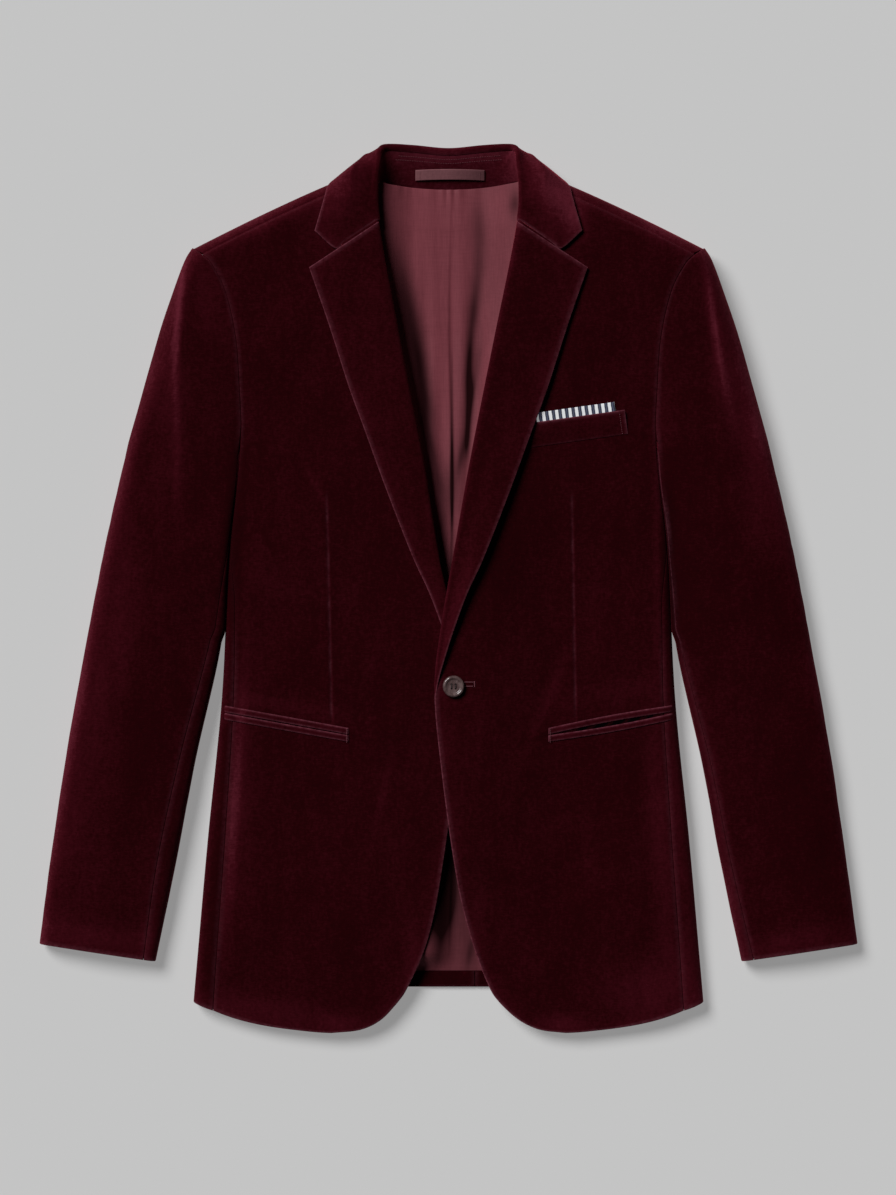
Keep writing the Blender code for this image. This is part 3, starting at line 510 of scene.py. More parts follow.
# Soft creases: the columns of their tables, and the shares of their length where they rise and end
CREASE = "x0 y0 x1 y1 width height"
CREASE_STARTS = (-0.15, 0.35)
CREASE_ENDS = (0.65, 1.15)

# Soft ridges, and troughs with a negative height, on the fronts: both ends, half width, height
FRONT_CREASES = {
    LEFT: table(
        CREASE,
        (14, -84, 74, -58, 13, 0.9), (16, -98, 82, -126, 14, 0.8), (130, -40, 176, -112, 16, 1),
        (150, -200, 168, -330, 20, 1.4), (60, -210, 84, -372, 26, 1.2), (168, 60, 178, -40, 11, 1.4),
        (120, 250, 168, 190, 24, 1.2), (96, 60, 120, -30, 22, -0.8),
    ),
    RIGHT: table(
        CREASE,
        (18, -84, 66, -50, 12, 0.8), (22, -100, 78, -140, 15, 0.9), (136, -30, 170, -112, 18, 1),
        (176, -240, 192, -350, 18, 1.6), (70, -180, 96, -360, 28, 1.1), (170, 70, 178, -60, 12, 1.2),
        (128, 262, 176, 200, 22, 1.3), (90, 40, 116, -60, 24, -0.8),
    ),
}

# The same on the sleeves
SLEEVE_CREASES = {
    LEFT: table(
        CREASE,
        (236, 304, 249, 245, 8, 2.2), (247, 252, 252, 180, 9, 2.4), (251, 190, 258, 118, 9, 1.8),
        (258, 128, 266, 60, 11, 1), (262, 92, 276, 18, 8, 1.2), (272, 60, 262, -4, 7, -0.9),
        (214, 40, 258, 6, 9, 1.1), (222, -6, 268, -30, 10, 0.9), (300, 20, 322, -60, 12, -1.1),
        (250, -190, 268, -330, 12, 1.3), (322, -180, 352, -310, 18, 1),
        (276, -232, 300, -320, 16, -0.9),
    ),
    RIGHT: table(
        CREASE,
        (238, 306, 248, 258, 8, 2.4), (246, 264, 252, 196, 9, 2.6), (251, 206, 254, 138, 9, 2),
        (254, 150, 258, 88, 11, 1.2), (212, 60, 252, 20, 9, 1), (218, 10, 262, -24, 10, 1),
        (296, 40, 322, -40, 13, -1.1), (258, -160, 276, -324, 14, 1.2), (330, -170, 360, -300, 16, 1.1),
        (284, -220, 306, -318, 17, -0.9),
    ),
}

# Patches of nap brushed the other way, and of painted sheen and painted shade: lighter, or with a negative
# amount, darker
NAP_AND_PAINTED_LIGHT = table(
    PATCH,
    (-248, 246, 3.2, 48, -5, 980), (-250, 165, 3.8, 64, 0, 600), (-253, 215, 12, 90, -4, 160),
    (-267, 202, 9, 80, -16, 160), (-248, 110, 8, 50, -3, 200), (-221, 268, 15, 34, 12, 260),
    (-313, -250, 40, 70, -12, 150), (-368, -315, 14, 22, -10, 220), (-276, -326, 9, 26, -8, 320),
    (-197, -195, 5, 105, -4, 880), (-190, -195, 12, 100, -4, 200), (-177, -386, 60, 13, -8, 380),
    (-102, -399, 15, 8, 0, 380), (-150, -107, 50, 7, -10, 240), (-160, 5, 26, 32, 0, 140),
    (-70, -65, 6, 40, -20, 120), (-61, -190, 4, 30, -10, 320), (-172, 331, 52, 9, 25, 240),
    (-34, -330, 10, 50, 10, 220), (190, 331, 48, 10, -25, 320), (193, 60, 5, 110, 0, 560),
    (150, -95, 46, 12, 10, 200), (195, -230, 11, 110, 4, 380), (183, -371, 40, 26, 6, 420),
    (105, -399, 20, 7, 0, 400), (20, -330, 8, 50, -14, 160), (243, 252, 3.4, 44, 9, 800),
    (252, 196, 4, 44, 12, 520), (249, 215, 13, 85, 9, 160), (284, 132, 9, 52, 16, 340),
    (300, 96, 12, 80, 16, 220), (276, 65, 8, 42, 9, 260), (265, -300, 10, 58, 10, 420),
    (325, -321, 50, 10, 9, 260), (335, -210, 25, 90, 10, -200), (243, -160, 5, 90, 11, 160),
    (60, 40, 30, 70, -18, -160), (98, 362, 17, 34, 30, 1000), (116, 340, 9, 16, 0, 500),
    (-96, 366, 16, 30, -30, 420), (-310, -60, 26, 120, -11, 190), (-90, 240, 26, 90, 24, 110),
    (-304, 96, 10, 130, -15, 300), (-121, 94, 2.5, 24, 29, 360), (92, -100, 5, 55, -22, 260),
    (-322, -319, 50, 10, -9, 300), (0, 401, 56, 8, 0, 560), (-199, 40, 7, 75, -4, -560),
    (200, 20, 8, 95, 3, -620), (-345, -130, 26, 200, -10, 200), (-285, -180, 22, 120, -12, -120),
    (212, 330, 30, 5, -25, 420), (-190, 338, 60, 6, 25, 340), (-352, -150, 9, 130, -10, 260),
    (272, 205, 8, 90, 15, 360), (318, 20, 9, 130, 13, 340), (281, 96, 7, 60, 13, 300),
)

# Shade in the mouths of the hip pockets
MOUTH_SHADE = table(
    PATCH,
    (152, -123.5, 48, 1.9, 10.2, -2600), (-150, -124, 50, 0.8, -10.2, -1300),
)


def blend(first, second, share):
    """The value part of the way from one number or point to another."""
    return first + (second - first) * share


def ramp_line(value, start, end):
    """The straight share of the way from the start to the end."""
    return (value - start) / (end - start)


def ramp(value, start, end):
    """A smooth step from 0 at the start to 1 at the end."""
    share = np.clip(ramp_line(value, start, end), 0.0, 1.0)
    return share * share * (3.0 - 2.0 * share)


def hermite(knots, values, at):
    """Values at places on a smooth line through values at rising knots."""
    knots = np.asarray(knots, float)
    values = np.asarray(values, float)
    at = np.clip(np.asarray(at, float), knots[0], knots[-1])
    wide = values.reshape(len(knots), -1)
    order = np.arange(len(knots))
    before = np.maximum(order - 1, 0)
    after = np.minimum(order + 1, len(knots) - 1)
    slopes = (wide[after] - wide[before]) / (knots[after] - knots[before])[:, None]
    left = np.clip(np.searchsorted(knots, at, side="right") - 1, 0, len(knots) - 2)
    span = (knots[left + 1] - knots[left])[..., None]
    share = (at - knots[left])[..., None] / span
    rest = 1.0 - share
    made = wide[left] * ((1.0 + 2.0 * share) * rest**2)
    made += wide[left + 1] * (share**2 * (3.0 - 2.0 * share))
    made += span * (slopes[left] * share * rest**2 - slopes[left + 1] * share**2 * rest)
    return made.reshape(at.shape + values.shape[1:])


def read(rows, column, y):
    """A column of a table at places along the jacket."""
    return hermite(rows.y, getattr(rows, column), y)


def pair(x, y):
    """Points in plan from their two coordinates."""
    return np.stack(np.broadcast_arrays(x, y), axis=-1)


def raised(plan, height):
    """Points in plan, lifted to a height."""
    height = np.broadcast_to(height, np.shape(plan)[:-1])
    return np.concatenate([plan, height[..., None]], axis=-1)


def unit(vectors):
    """The same directions, one long."""
    return vectors / np.maximum(np.linalg.norm(vectors, axis=-1, keepdims=True), 1e-12)


def lengths_along(points):
    """Distance of each point of a line from its start, along the line."""
    return np.concatenate([[0.0], np.cumsum(np.linalg.norm(np.diff(points, axis=0), axis=1))])


def curve(points):
    """A function that gives the points at shares of the way along a smooth line through the points."""
    points = np.asarray(points, float)
    knots = lengths_along(points)
    return lambda share: hermite(knots, points, np.asarray(share, float) * knots[-1])


def ridges(x, y, creases):
    """Height that the soft creases of a table add at places in plan."""
    height = np.zeros(np.shape(x))
    for x0, y0, x1, y1, width, peak in zip(*creases):
        length = math.hypot(x1 - x0, y1 - y0)
        along = ((x - x0) * (x1 - x0) + (y - y0) * (y1 - y0)) / length**2
        away = ((y - y0) * (x1 - x0) - (x - x0) * (y1 - y0)) / length
        taper = ramp(along, *CREASE_STARTS) * (1.0 - ramp(along, *CREASE_ENDS))
        height += peak * taper * np.exp(-((away / width) ** 2))
    return height


def drape(x, y):
    """Slight unevenness of cloth laid flat, the same for neighbouring pieces."""
    made = np.zeros(np.shape(x))
    for height, across, along, phase in DRAPE_WAVES:
        made = made + height * np.sin(x * across + y * along + phase)
    return made * MM


def shoulder_depth(x, y):
    """How far inside the shoulder's outline a place lies."""
    return -((x - SHOULDER_NECK[0]) * SHOULDER_OUT[0] + (y - SHOULDER_NECK[1]) * SHOULDER_OUT[1])


def shoulder_bulge(x):
    """How far the shoulder's outline bows out, across the jacket."""
    return SHOULDER_BULGE * np.sin(math.pi * np.clip(ramp_line(x, *BULGE_RUN), 0.0, 1.0)) ** BULGE_POWER


def body_height(x, y, side):
    """Height of the body's top, over its crown, its roll into the shoulder and the overlap."""
    side_height = read(BODY, "side_height", y)
    across = np.minimum(np.abs(x) / read(BODY, "half_width", y), 1.0)
    height = side_height + (read(BODY, "mid_height", y) - side_height) * (1.0 - across**2) ** 2
    past = np.clip(1.0 - shoulder_depth(x, y) / SHOULDER_ROLL, 0.0, 1.0)
    height = height * (1.0 - (1.0 - np.sqrt(1.0 - past**2)) / 2)
    if side == LEFT:
        middle = 1.0 - ramp(x, *OVERLAP_ACROSS)
        height = height + OVERLAP * middle * ramp(y, *OVERLAP_STARTS) * (1.0 - ramp(y, *OVERLAP_ENDS))
    return height


def front_height(x, y, side):
    """Height of the face of a front: the body's top, a little uneven."""
    return body_height(x, y, side) + drape(x * side, y)


def side_seam(y):
    """Distance of the front's side seam from the middle."""
    return read(BODY, "half_width", y) - read(SIDE_SEAM, "distance", y)


def roll_drop(distance, corner):
    """How far a face has dropped into a roll, at a distance inside the outline."""
    short = np.clip(corner - distance, 0.0, corner)
    return corner - np.sqrt(corner**2 - short**2)


def fold_left(y):
    """How much is left of the fold under the arm, from all of it at the underarm to none at its end."""
    return np.clip(1.0 - ramp_line(y, UNDERARM, UNDERARM_END), FOLD_LEAST, 1.0)


def fold_sink(y):
    """How far the fold under the arm sinks between the front and the sleeve, towards its end."""
    return FOLD_SINK * ramp(y, UNDERARM, UNDERARM_END)


def off_table(lines):
    """Lines of points with the end of the fold under the arm lifted off the table."""
    lines[..., 2] += fold_sink(lines[..., 1]) * (1.0 - lines[..., 2] / lines[..., 2].max())
    return lines


def roll_radius(y):
    """Outer radius of the lapel's fold, which opens from nothing at its foot and on towards the neck."""
    radius = blend(LAPEL_FOOT_RADIUS, LAPEL_TOP_RADIUS, ramp(y, LAPEL_FOOT, LAPEL_TOP))
    return radius * ramp(y, *LAPEL_OPENS)


def armhole_row(share, *columns):
    """Points of the armhole table at shares of its rows."""
    points = np.stack([getattr(ARMHOLE, column) for column in columns], axis=1)
    return hermite(np.arange(len(points)), points, np.asarray(share) * (len(points) - 1))


def armhole(share, offset):
    """Points of the armhole seam in plan, moved sideways by an offset."""
    step = 0.02
    ahead = armhole_row(np.minimum(share + step, 1.0), "x", "y")
    along = ahead - armhole_row(np.maximum(share - step, 0.0), "x", "y")
    return armhole_row(share, "x", "y") + unit(pair(along[..., 1], -along[..., 0])) * offset


def spread(length, step, first=None, last=None):
    """Distances along a line, evenly spaced, and closer together at an end with a rounded rim."""
    start = first.radius * ROUND if first else np.zeros(1)
    end = length - (last.radius * ROUND[::-1] if last else np.zeros(1))
    count = max(int(round((end[0] - start[-1]) / step)), 2)
    return np.concatenate([start, np.linspace(start[-1], end[0], count + 1)[1:-1], end])


def spread_shares(length, step, first=None, last=None):
    """The same distances as shares of the line's length."""
    return spread(length, step, first, last) / length


def resample(lines, step, first=None, last=None):
    """Rows of points laid evenly along dense lines, closer together at ends with rounded rims."""
    lengths = np.linalg.norm(np.diff(lines, axis=1), axis=2)
    along = np.concatenate([np.zeros((len(lines), 1)), np.cumsum(lengths, axis=1)], axis=1)
    total = along[:, -1:]
    start = first.radius * ROUND if first else np.zeros(1)
    end = last.radius * ROUND[::-1] if last else np.zeros(1)
    even = np.linspace(0.0, 1.0, max(int(round(total.mean() / step)), 4) + 1)[1:-1]
    between = start[-1] + (total - end[0] - start[-1]) * even
    wanted = np.hstack([np.repeat(start[None], len(lines), 0), between, total - end])
    rows = []
    for places, known, line in zip(wanted, along, lines):
        rows.append(np.stack([np.interp(places, known, line[:, axis]) for axis in range(3)], axis=1))
    return np.array(rows)


def grid_normals(face):
    """Directions that a grid's face looks in."""
    return unit(np.cross(np.gradient(face, axis=1), np.gradient(face, axis=0)))


def line_distance(points, line):
    """Distance of each point from a line of short segments, worked out for some points at a time."""
    start, way = line[:-1], np.diff(line, axis=0)
    square = np.maximum((way**2).sum(axis=1), 1e-16)
    nearest = []
    for some in np.array_split(points, len(points) // POINTS_AT_ONCE + 1):
        offset = some[:, None] - start[None]
        share = np.clip((offset * way).sum(axis=2) / square, 0.0, 1.0)
        away = offset - way * share[..., None]
        nearest.append(np.sqrt((away**2).sum(axis=2).min(axis=1)))
    return np.concatenate(nearest)


def rim_distances(face, rims):
    """Distance of a grid's points from each of its four rims: first and last row, first and last column."""
    rows, columns = face.shape[:2]
    made = []
    for number, rim in enumerate(rims):
        away = np.full((rows, columns), FAR)
        if rim:
            reach = min(RIM_REACH, (rows if number < 2 else columns) - 1)
            strip = (np.s_[:reach], np.s_[-reach:], np.s_[:, :reach], np.s_[:, -reach:])[number]
            part = face[strip]
            away[strip] = line_distance(part.reshape(-1, 3), face[BORDERS[number]]).reshape(part.shape[:2])
        made.append(away)
    return made


def underarm_fold(x, y):
    """Where the sleeve and the body press together, and their seams do not show."""
    along = ramp(y, *PRESSED_FROM) * (1.0 - ramp(y, *PRESSED_TO))
    return along * ramp(np.abs(x), *PRESSED_ACROSS)


def patches(x, y, places):
    """The sum of a table's soft patches at places in plan. The table keeps degrees times the millimetre."""
    made = np.zeros(np.shape(x))
    for at_x, at_y, half_width, half_length, lean, amount in zip(*places):
        turn = math.radians(lean / MM)
        across = (x - at_x) * math.cos(turn) + (y - at_y) * math.sin(turn)
        along = (y - at_y) * math.cos(turn) - (x - at_x) * math.sin(turn)
        made += amount * np.exp(-((across / half_width) ** 2) - (along / half_length) ** 2)
    return made


PIECES = {}
FACES = {}


def add_mesh(name, points, faces, look, node=None, values=()):
    """A mesh piece of the blazer with its material, riding on the one body."""
    mesh = bpy.data.meshes.new(name)
    mesh.from_pydata(points.tolist(), [], faces)
    for label, numbers in values:
        kept = mesh.attributes.new(label, "FLOAT", "POINT").data
        kept.foreach_set("value", np.asarray(numbers, np.float32))
    mesh.shade_smooth()
    mesh.materials.append(look)
    piece = bpy.data.objects.new(name, mesh)
    bpy.context.scene.collection.objects.link(piece)
    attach(piece, "root")
    if node:
        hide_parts(node)
    PIECES[name] = piece
    return piece


def rim_values(face, rims):
    """Roundness of a grid, from 0 on its rims to 1 inside, the line along them, part wear and part painted
    sheen, and its painted sheen halo.
    """
    roundness = np.full(face.shape[:2], 1.0)
    line = np.zeros(face.shape[:2])
    sheen_halo = np.zeros(face.shape[:2])
    for border, rim, distance in zip(BORDERS, rims, rim_distances(face, rims)):
        if rim:
            roundness = np.minimum(roundness, distance / rim.radius)
            line = np.maximum(line, rim.line * np.exp(-((distance / LINE_WIDTH) ** 2)))
            sheen_halo = np.maximum(sheen_halo, rim.line * np.exp(-distance / HALO_WIDTH))
        else:
            roundness[border] = 0.0
    return roundness, line, sheen_halo


def cloth_values(node, face, bent, line, sheen_halo, look, side, lift):
    """Numbers at a grid's points that its material reads: lines along the edges, part wear and part painted
    sheen; brushed nap with painted sheen and painted shade; and painted sheen halos.
    """
    x, y = face[..., 0], face[..., 1]
    # Nap patches with painted sheen and shade, the piece's lift, which on some pieces is painted light or
    # shade, and painted sheen where the cloth turns
    nap_and_painted_light = patches(x * side, y, NAP_AND_PAINTED_LIGHT) + lift + SHEEN_ON_TURNS * bent**BENT_POWER
    if node.startswith("front"):
        nap_and_painted_light = nap_and_painted_light + patches(x * side, y, MOUTH_SHADE)
    # On satin the nap carries only the painted shade
    if look in (SATIN, LIT_LOOP_SATIN):
        nap_and_painted_light = patches(x, y, PAINTED_SATIN_SHADE)
    pressed = underarm_fold(x, y)
    line_left = PRESSED_LINE
    # On the left sleeve: a painted highlight along the pressed line and painted shade beside it
    if node.endswith("sleeve_left"):
        line_left = LEFT_ROLL_HIGHLIGHT
        nap_and_painted_light = nap_and_painted_light - LEFT_SHADE * pressed * bent**LEFT_SHADE_POWER
        line = line * (line / SEWN.line) ** (LEFT_LINE_POWER * pressed)
    line = line * blend(1.0, line_left, pressed)
    return [("line", line), ("nap_and_painted_light", nap_and_painted_light), ("sheen_halo", sheen_halo * blend(1.0, PRESSED_HALO, pressed))]


def shell(node, face, wall, rims, look, side=LEFT, along=None, lift=0.0, marks=None):
    """A cloth shell: its face as a grid of points, its wall behind, closed by a rounded rim."""
    normal = grid_normals(face)
    roundness, line, sheen_halo = rim_values(face, rims)
    thick = np.sqrt(np.clip(1.0 - (1.0 - roundness) ** 2, 0.0, 1.0))[..., None]
    outer = face - normal * wall / 2 * (1.0 - thick)
    inner = face - normal * wall / 2 * (1.0 + thick)
    rows, columns = face.shape[:2]
    front = np.arange(rows * columns).reshape(rows, columns)
    inside = np.zeros((rows, columns), bool)
    inside[1:-1, 1:-1] = True
    behind = front.copy()
    behind[inside] = rows * columns + np.arange(inside.sum())
    faces = []
    for index, flip in ((front, side == RIGHT), (behind, side == LEFT)):
        corners = [index[:-1, :-1], index[:-1, 1:], index[1:, 1:], index[1:, :-1]]
        quads = np.stack(corners[::-1] if flip else corners, axis=-1).reshape(-1, 4)
        faces += quads.tolist()
    points = np.concatenate([outer.reshape(-1, 3), inner[inside]]) * (side, 1.0, 1.0)
    if marks is not None:
        line = np.maximum(line, marks)
    bent = np.clip(1.0 - normal[..., 2] ** 2, 0.0, 1.0) ** 0.5
    values = cloth_values(node, face, bent, line, sheen_halo, look, side, lift)
    if along is not None:
        values.append(("along", along))
    values = [(label, np.concatenate([grid.reshape(-1), grid[inside]])) for label, grid in values]
    FACES[node] = face
    return add_mesh(node, points, faces, look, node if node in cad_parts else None, values)


def front_inner_edge(side):
    """The front's free edge, moved back where the lapel's fold takes its place."""
    seen = curve(pair(getattr(FRONT_EDGE, NAMES[side]), FRONT_EDGE.y))
    points = seen(np.linspace(0.0, 1.0, EDGE_STEPS + 1))
    points[:, 0] += (roll_radius(points[:, 1]) + 4 * SEAM) * ramp(points[:, 1], *LAPEL_RUN_IN)
    return curve(points)


def dart_place(x, y, side):
    """How far along a front's dart places lie, as a share, and how far beside it."""
    top, foot = DARTS[side]
    along = ramp_line(y, top[1], foot[1])
    return along, x - blend(top[0], foot[0], along)


def front_detail(x, y, side):
    """What the dart and the soft creases add to a front's height."""
    along, away = dart_place(x, y, side)
    deep = DART_DEPTH * ramp(along, *DART_STARTS) * (1.0 - ramp(along, *DART_ENDS))
    swell = DART_SWELL * np.exp(-((away / DART_SWELL_WIDTH) ** 2))
    return deep * (swell - np.exp(-((away / DART_WIDTH) ** 2))) + ridges(x, y, FRONT_CREASES[side])


def front_face(side):
    """A front, from its hem to the shoulder seam, row by row from the free edge outwards."""
    inner = front_inner_edge(side)
    low = spread_shares(SIDE_RUN, STEP, FREE)
    high = spread_shares(ARM_RUN, STEP, None, SEWN)[1:]
    y = blend(SIDE_HEM, UNDERARM, low)
    start = np.vstack([inner(UNDERARM_SHARE * low**EDGE_SPACING), inner(blend(UNDERARM_SHARE, 1.0, high))])
    arm = armhole(high**ARM_SPACING, -SEAM / 2)
    arm[:, 0] += (side_seam(UNDERARM) - ARMHOLE.x[0]) * fold_left(arm[:, 1])
    end = np.vstack([pair(side_seam(y), y), arm])
    bow = np.concatenate([1.0 - ramp(low * SIDE_ROWS, 0, HEM_BOW_ROWS), np.zeros(len(high))])[:, None]
    run = np.linalg.norm(end - start, axis=1)[:, None]
    across = unit(end - start)
    along = unit(np.gradient(start, axis=0))
    slant = np.abs(across[:, 0] * along[:, 1] - across[:, 1] * along[:, 0])[:, None]
    near = FREE.radius * ROUND / np.clip(slant, LEAST_SLANT, 1.0) / run
    far = 1.0 - SEWN.radius * ROUND[::-1] / run
    beside = dart_place(start[:, 0], start[:, 1], side)[1]
    middle = np.clip(-beside / (end[:, 0] - start[:, 0]), *DART_RANGE)[:, None]
    dart = middle + DART_COLUMNS / run
    first = blend(near[:, -1:], dart[:, :1], np.linspace(0, 1, INNER_COLUMNS)[1:-1])
    second = blend(dart[:, -1:], far[:, :1], np.linspace(0, 1, OUTER_COLUMNS)[1:-1])
    share = np.hstack([near, first, dart, second, far])
    place = start[:, None] + (end - start)[:, None] * share[..., None]
    place[..., 1] -= HEM_BOW * 4.0 * share * (1.0 - share) * bow
    place[..., 1] -= HEM_DROP * ramp(share, HEM_DROP_FROM, 1.0) * hem_share(place[..., 1])
    x, y = place[..., 0], place[..., 1]
    height = front_height(x, y, side) + front_detail(x, y, side)
    drop = roll_drop(read(BODY, "half_width", y) - x, read(BODY, "corner", y))
    height = height - drop * (1.0 - ramp(y, UNDERARM, UNDERARM_END))
    bowed = shoulder_bulge(x) * (1.0 - ramp(shoulder_depth(x, y), *BULGE_DEPTH))
    return raised(place + SHOULDER_OUT * bowed[..., None], height)


def hem_share(y):
    """How far a place shares in the slope of the hem."""
    return 1.0 - ramp(y, SIDE_HEM - HEM_DROP, SIDE_HEM + HEM_RUN)


def armhole_x(y):
    """Distance of the armhole seam from the middle."""
    return hermite(ARMHOLE.y, ARMHOLE.x, y)


def rolled(seam, outline, height, corner, reach):
    """Dense lines from a seam on top, round the outline and underneath, as far as the reach."""
    outwards = unit(outline - seam)
    distance = np.linalg.norm(outline - seam, axis=1)
    first = np.arccos(np.clip(1.0 - distance / corner, 0.0, 1.0))
    parts = [raised(seam, height - roll_drop(distance, corner))]
    for middle, start, end in ((height - corner, first, 0.0), (corner, 0.0, -math.pi / 2)):
        for step in range(ARC_STEPS + 1):
            angle = np.broadcast_to(blend(start, end, step / ARC_STEPS), first.shape)
            plan = outline - outwards * (corner * (1.0 - np.cos(angle)))[:, None]
            parts.append(raised(plan, middle + corner * np.sin(angle)))
    parts.append(raised(outline - outwards * reach[:, None], 0.0))
    return np.stack(parts, axis=1)


def side_panel_face(side):
    """The panel between the front's side seam and the back."""
    run = UNDERARM_END - SIDE_HEM
    y = SIDE_HEM + spread(run, STEP, FREE, TUCKED)
    left = fold_left(y)
    above = y > UNDERARM
    corner = np.where(above, FOLD_CORNER * left, read(BODY, "corner", y))
    beside = armhole_x(y) + (side_seam(UNDERARM) - ARMHOLE.x[0]) * left
    seam_x = np.where(above, beside, side_seam(y)) + SEAM
    outline_x = np.where(above, beside + FOLD_DISTANCE * left, read(BODY, "half_width", y))
    seam = pair(seam_x, y)
    height = front_height(seam_x, y, side) - fold_sink(y)
    flap = np.where(above, FOLD_REACH * left, read(BODY, "flap", y))
    lines = off_table(rolled(seam, pair(outline_x, y), height, corner, flap))
    face = resample(lines, STEP, SEWN, TUCKED)
    across = ramp_line(face[..., 0], seam_x[:, None], outline_x[:, None])
    slope = blend(-HEM_DROP, HEM_LIFT, np.clip(across, 0.0, 1.0) ** HEM_LIFT_POWER)
    face[..., 1] += slope * hem_share(face[..., 1])
    return face


def back_base(x, y):
    """Height of the underside of the back, which rises over the fall of the collar."""
    rise = np.clip(ramp_line(y, *COLLAR_ROOM_LENGTH), 0.0, 1.0)
    return COLLAR_ROOM * rise * (1.0 - ramp(np.abs(x), *COLLAR_ROOM_WIDTH))


def back_roll(top, share, angle, side):
    """Points where the back turns up over the shoulder, at an angle round the turn."""
    opened = ramp(top[:, 0], *NECK_TURN)[:, None]
    outwards = unit(blend(np.array((0.0, 1.0)), SHOULDER_OUT, opened))
    flat_swing = (angle / BACK_SEAM_ANGLE - 1.0) / 2
    swing = blend(flat_swing, math.sin(angle) - math.sin(SEAM_ANGLE), opened)
    place = top + outwards * blend(NECK_ROLL, SHOULDER_ROLL, opened) * swing
    lean = ARMHOLE_LEAN * share[:, None] ** ARMHOLE_LEAN_POWER
    place = place + SHOULDER_ALONG * lean * max(2.0 * math.sin(angle) - 1.0, ARMHOLE_LEAN_LEAST)
    base = back_base(place[:, 0], place[:, 1])
    neck_x = np.append(BACK_NECK.x, NECK_POINT[0])
    neck_z = np.append(BACK_NECK.z, front_height(*NECK_POINT, side))
    top_height = np.where(
        top[:, 0] > NECK_POINT[0],
        front_height(top[:, 0], top[:, 1], side),
        hermite(neck_x, neck_z, top[:, 0]),
    )
    rise = (top_height - base) / (1.0 - math.cos(SEAM_ANGLE))
    bowed = SHOULDER_OUT * shoulder_bulge(top[:, 0])[:, None] * ramp(angle, 0.0, math.pi / 2)
    return raised(place + bowed, base + rise * (1.0 - math.cos(angle)))


def back_face(hand):
    """Half of the back, row by row from the side seam or armhole to the centre seam."""
    low = spread_shares(SIDE_RUN, COARSE_STEP, FREE)
    y = blend(SIDE_HEM, UNDERARM, low)
    side = pair(read(BODY, "half_width", y) - read(BODY, "flap", y) - SEAM, y)
    side_centre = blend(BACK_HEM, UNDERARM + BACK_RISE, low)
    high = np.linspace(0.0, 1.0, BACK_ROWS)[1:]
    arm = armhole((high * BACK_ARM_SHARE) ** ARM_SPACING, -SEAM / 2)
    arm_centre = blend(UNDERARM + BACK_RISE, BACK_TOP_ROW, high)
    outer = np.vstack([side, arm])
    centre = pair(SEAM / 2, np.concatenate([side_centre, arm_centre]))
    share = 1.0 - spread_shares(BACK_ACROSS, COARSE_STEP, TUCKED, TUCKED)
    plan = centre[:, None] + (outer - centre)[:, None] * share[None, :, None]
    level = (1.0 - ramp(centre[:, 1], BACK_HEM, BACK_HEM + BACK_HEM_RUN))[:, None]
    hem_y = blend(BACK_HEM, plan[..., 1], ramp(plan[..., 0], *BACK_HEM_TURN))
    plan[..., 1] = blend(plan[..., 1], hem_y, level)
    inside = np.concatenate([low * SIDE_RUN, np.full(len(high), -FAR)])[:, None]
    plan[..., 1] = np.maximum(plan[..., 1], plan[0, :, 1] + BACK_HEM_SPREAD * inside)
    x, y = plan[..., 0], plan[..., 1]
    flat = raised(plan, back_base(x, y))
    neck = pair(BACK_NECK.x, BACK_NECK.y)
    shoulder = [blend(NECK_POINT, ARM_POINT, part) for part in SHOULDER_PARTS]
    top = curve(np.vstack([neck, shoulder]))(share)
    rows = []
    for angle in np.linspace(0.0, BACK_SEAM_ANGLE, BACK_TURN_ROWS):
        row = back_roll(top, share, angle, hand)
        row[:, 0] += SEAM / 2 * np.clip(1.0 - row[:, 0] / COLLAR_RUN, 0.0, 1.0)
        rows.append(row)
    return np.concatenate([flat, np.array(rows)])


def back_hem_face(side):
    """The turned-up hem of the back, which lies on it below the lining and stops at the vent's edge."""
    xs = VENT_X * side + SEAM + spread(HEM_END_X - VENT_X * side - SEAM, STEP, SEWN, TUCKED)
    ys = BACK_HEM + SEAM + spread(LINING_HEM - BACK_HEM - 2 * SEAM, FINE_STEP, SEWN, TUCKED)
    return raised(pair(*np.meshgrid(xs, ys)), VELVET_WALL + LAID_ON + TRIM_WALL)


def lapel_face(side):
    """A lapel, from its foot to the gorge seam, each row round its fold and out to its edge."""
    share = spread_shares(LAPEL_RUN, STEP, SEWN, FREE)
    fold_y = blend(LAPEL_FOOT, LAPEL_TOP, share)
    fold = pair(read(FRONT_EDGE, NAMES[side], fold_y), fold_y)
    outer = curve(pair(LAPEL_EDGE.x, LAPEL_EDGE.y))(share)
    across = unit(outer - fold)
    width = np.linalg.norm(outer - fold, axis=1)
    radius = roll_radius(fold_y)
    middle = fold + across * radius[:, None]
    centre_height = front_height(middle[:, 0], middle[:, 1], side) - VELVET_WALL + radius
    parts = []
    for angle in HALF_TURN:
        place = fold + across * (radius * (1.0 - math.cos(angle)))[:, None]
        parts.append(raised(place, centre_height + radius * math.sin(angle)))
    lift = read(LAPEL_EDGE, NAMES[side], outer[:, 1])
    for leg in np.linspace(0.0, 1.0, FLAT_STEPS + 1)[1:]:
        place = fold + across * blend(radius, width, leg)[:, None]
        above = blend(2.0 * radius - VELVET_WALL, lift, ramp(leg, 0.0, 1.0))
        parts.append(raised(place, front_height(place[:, 0], place[:, 1], side) + above))
    return resample(np.stack(parts, axis=1), LAPEL_STEP, None, FREE)


def collar_point(column, share):
    """A named point of the collar's sections, at shares of the way from the gorge to the centre back."""
    points = np.stack([getattr(COLLAR, column + axis) for axis in ("_x", "_y", "_z")], axis=1)
    last = len(points) - 1
    points = np.vstack([points, points[-2] * MIRRORED])
    return hermite(np.arange(last + 2), points, np.asarray(share) * last)


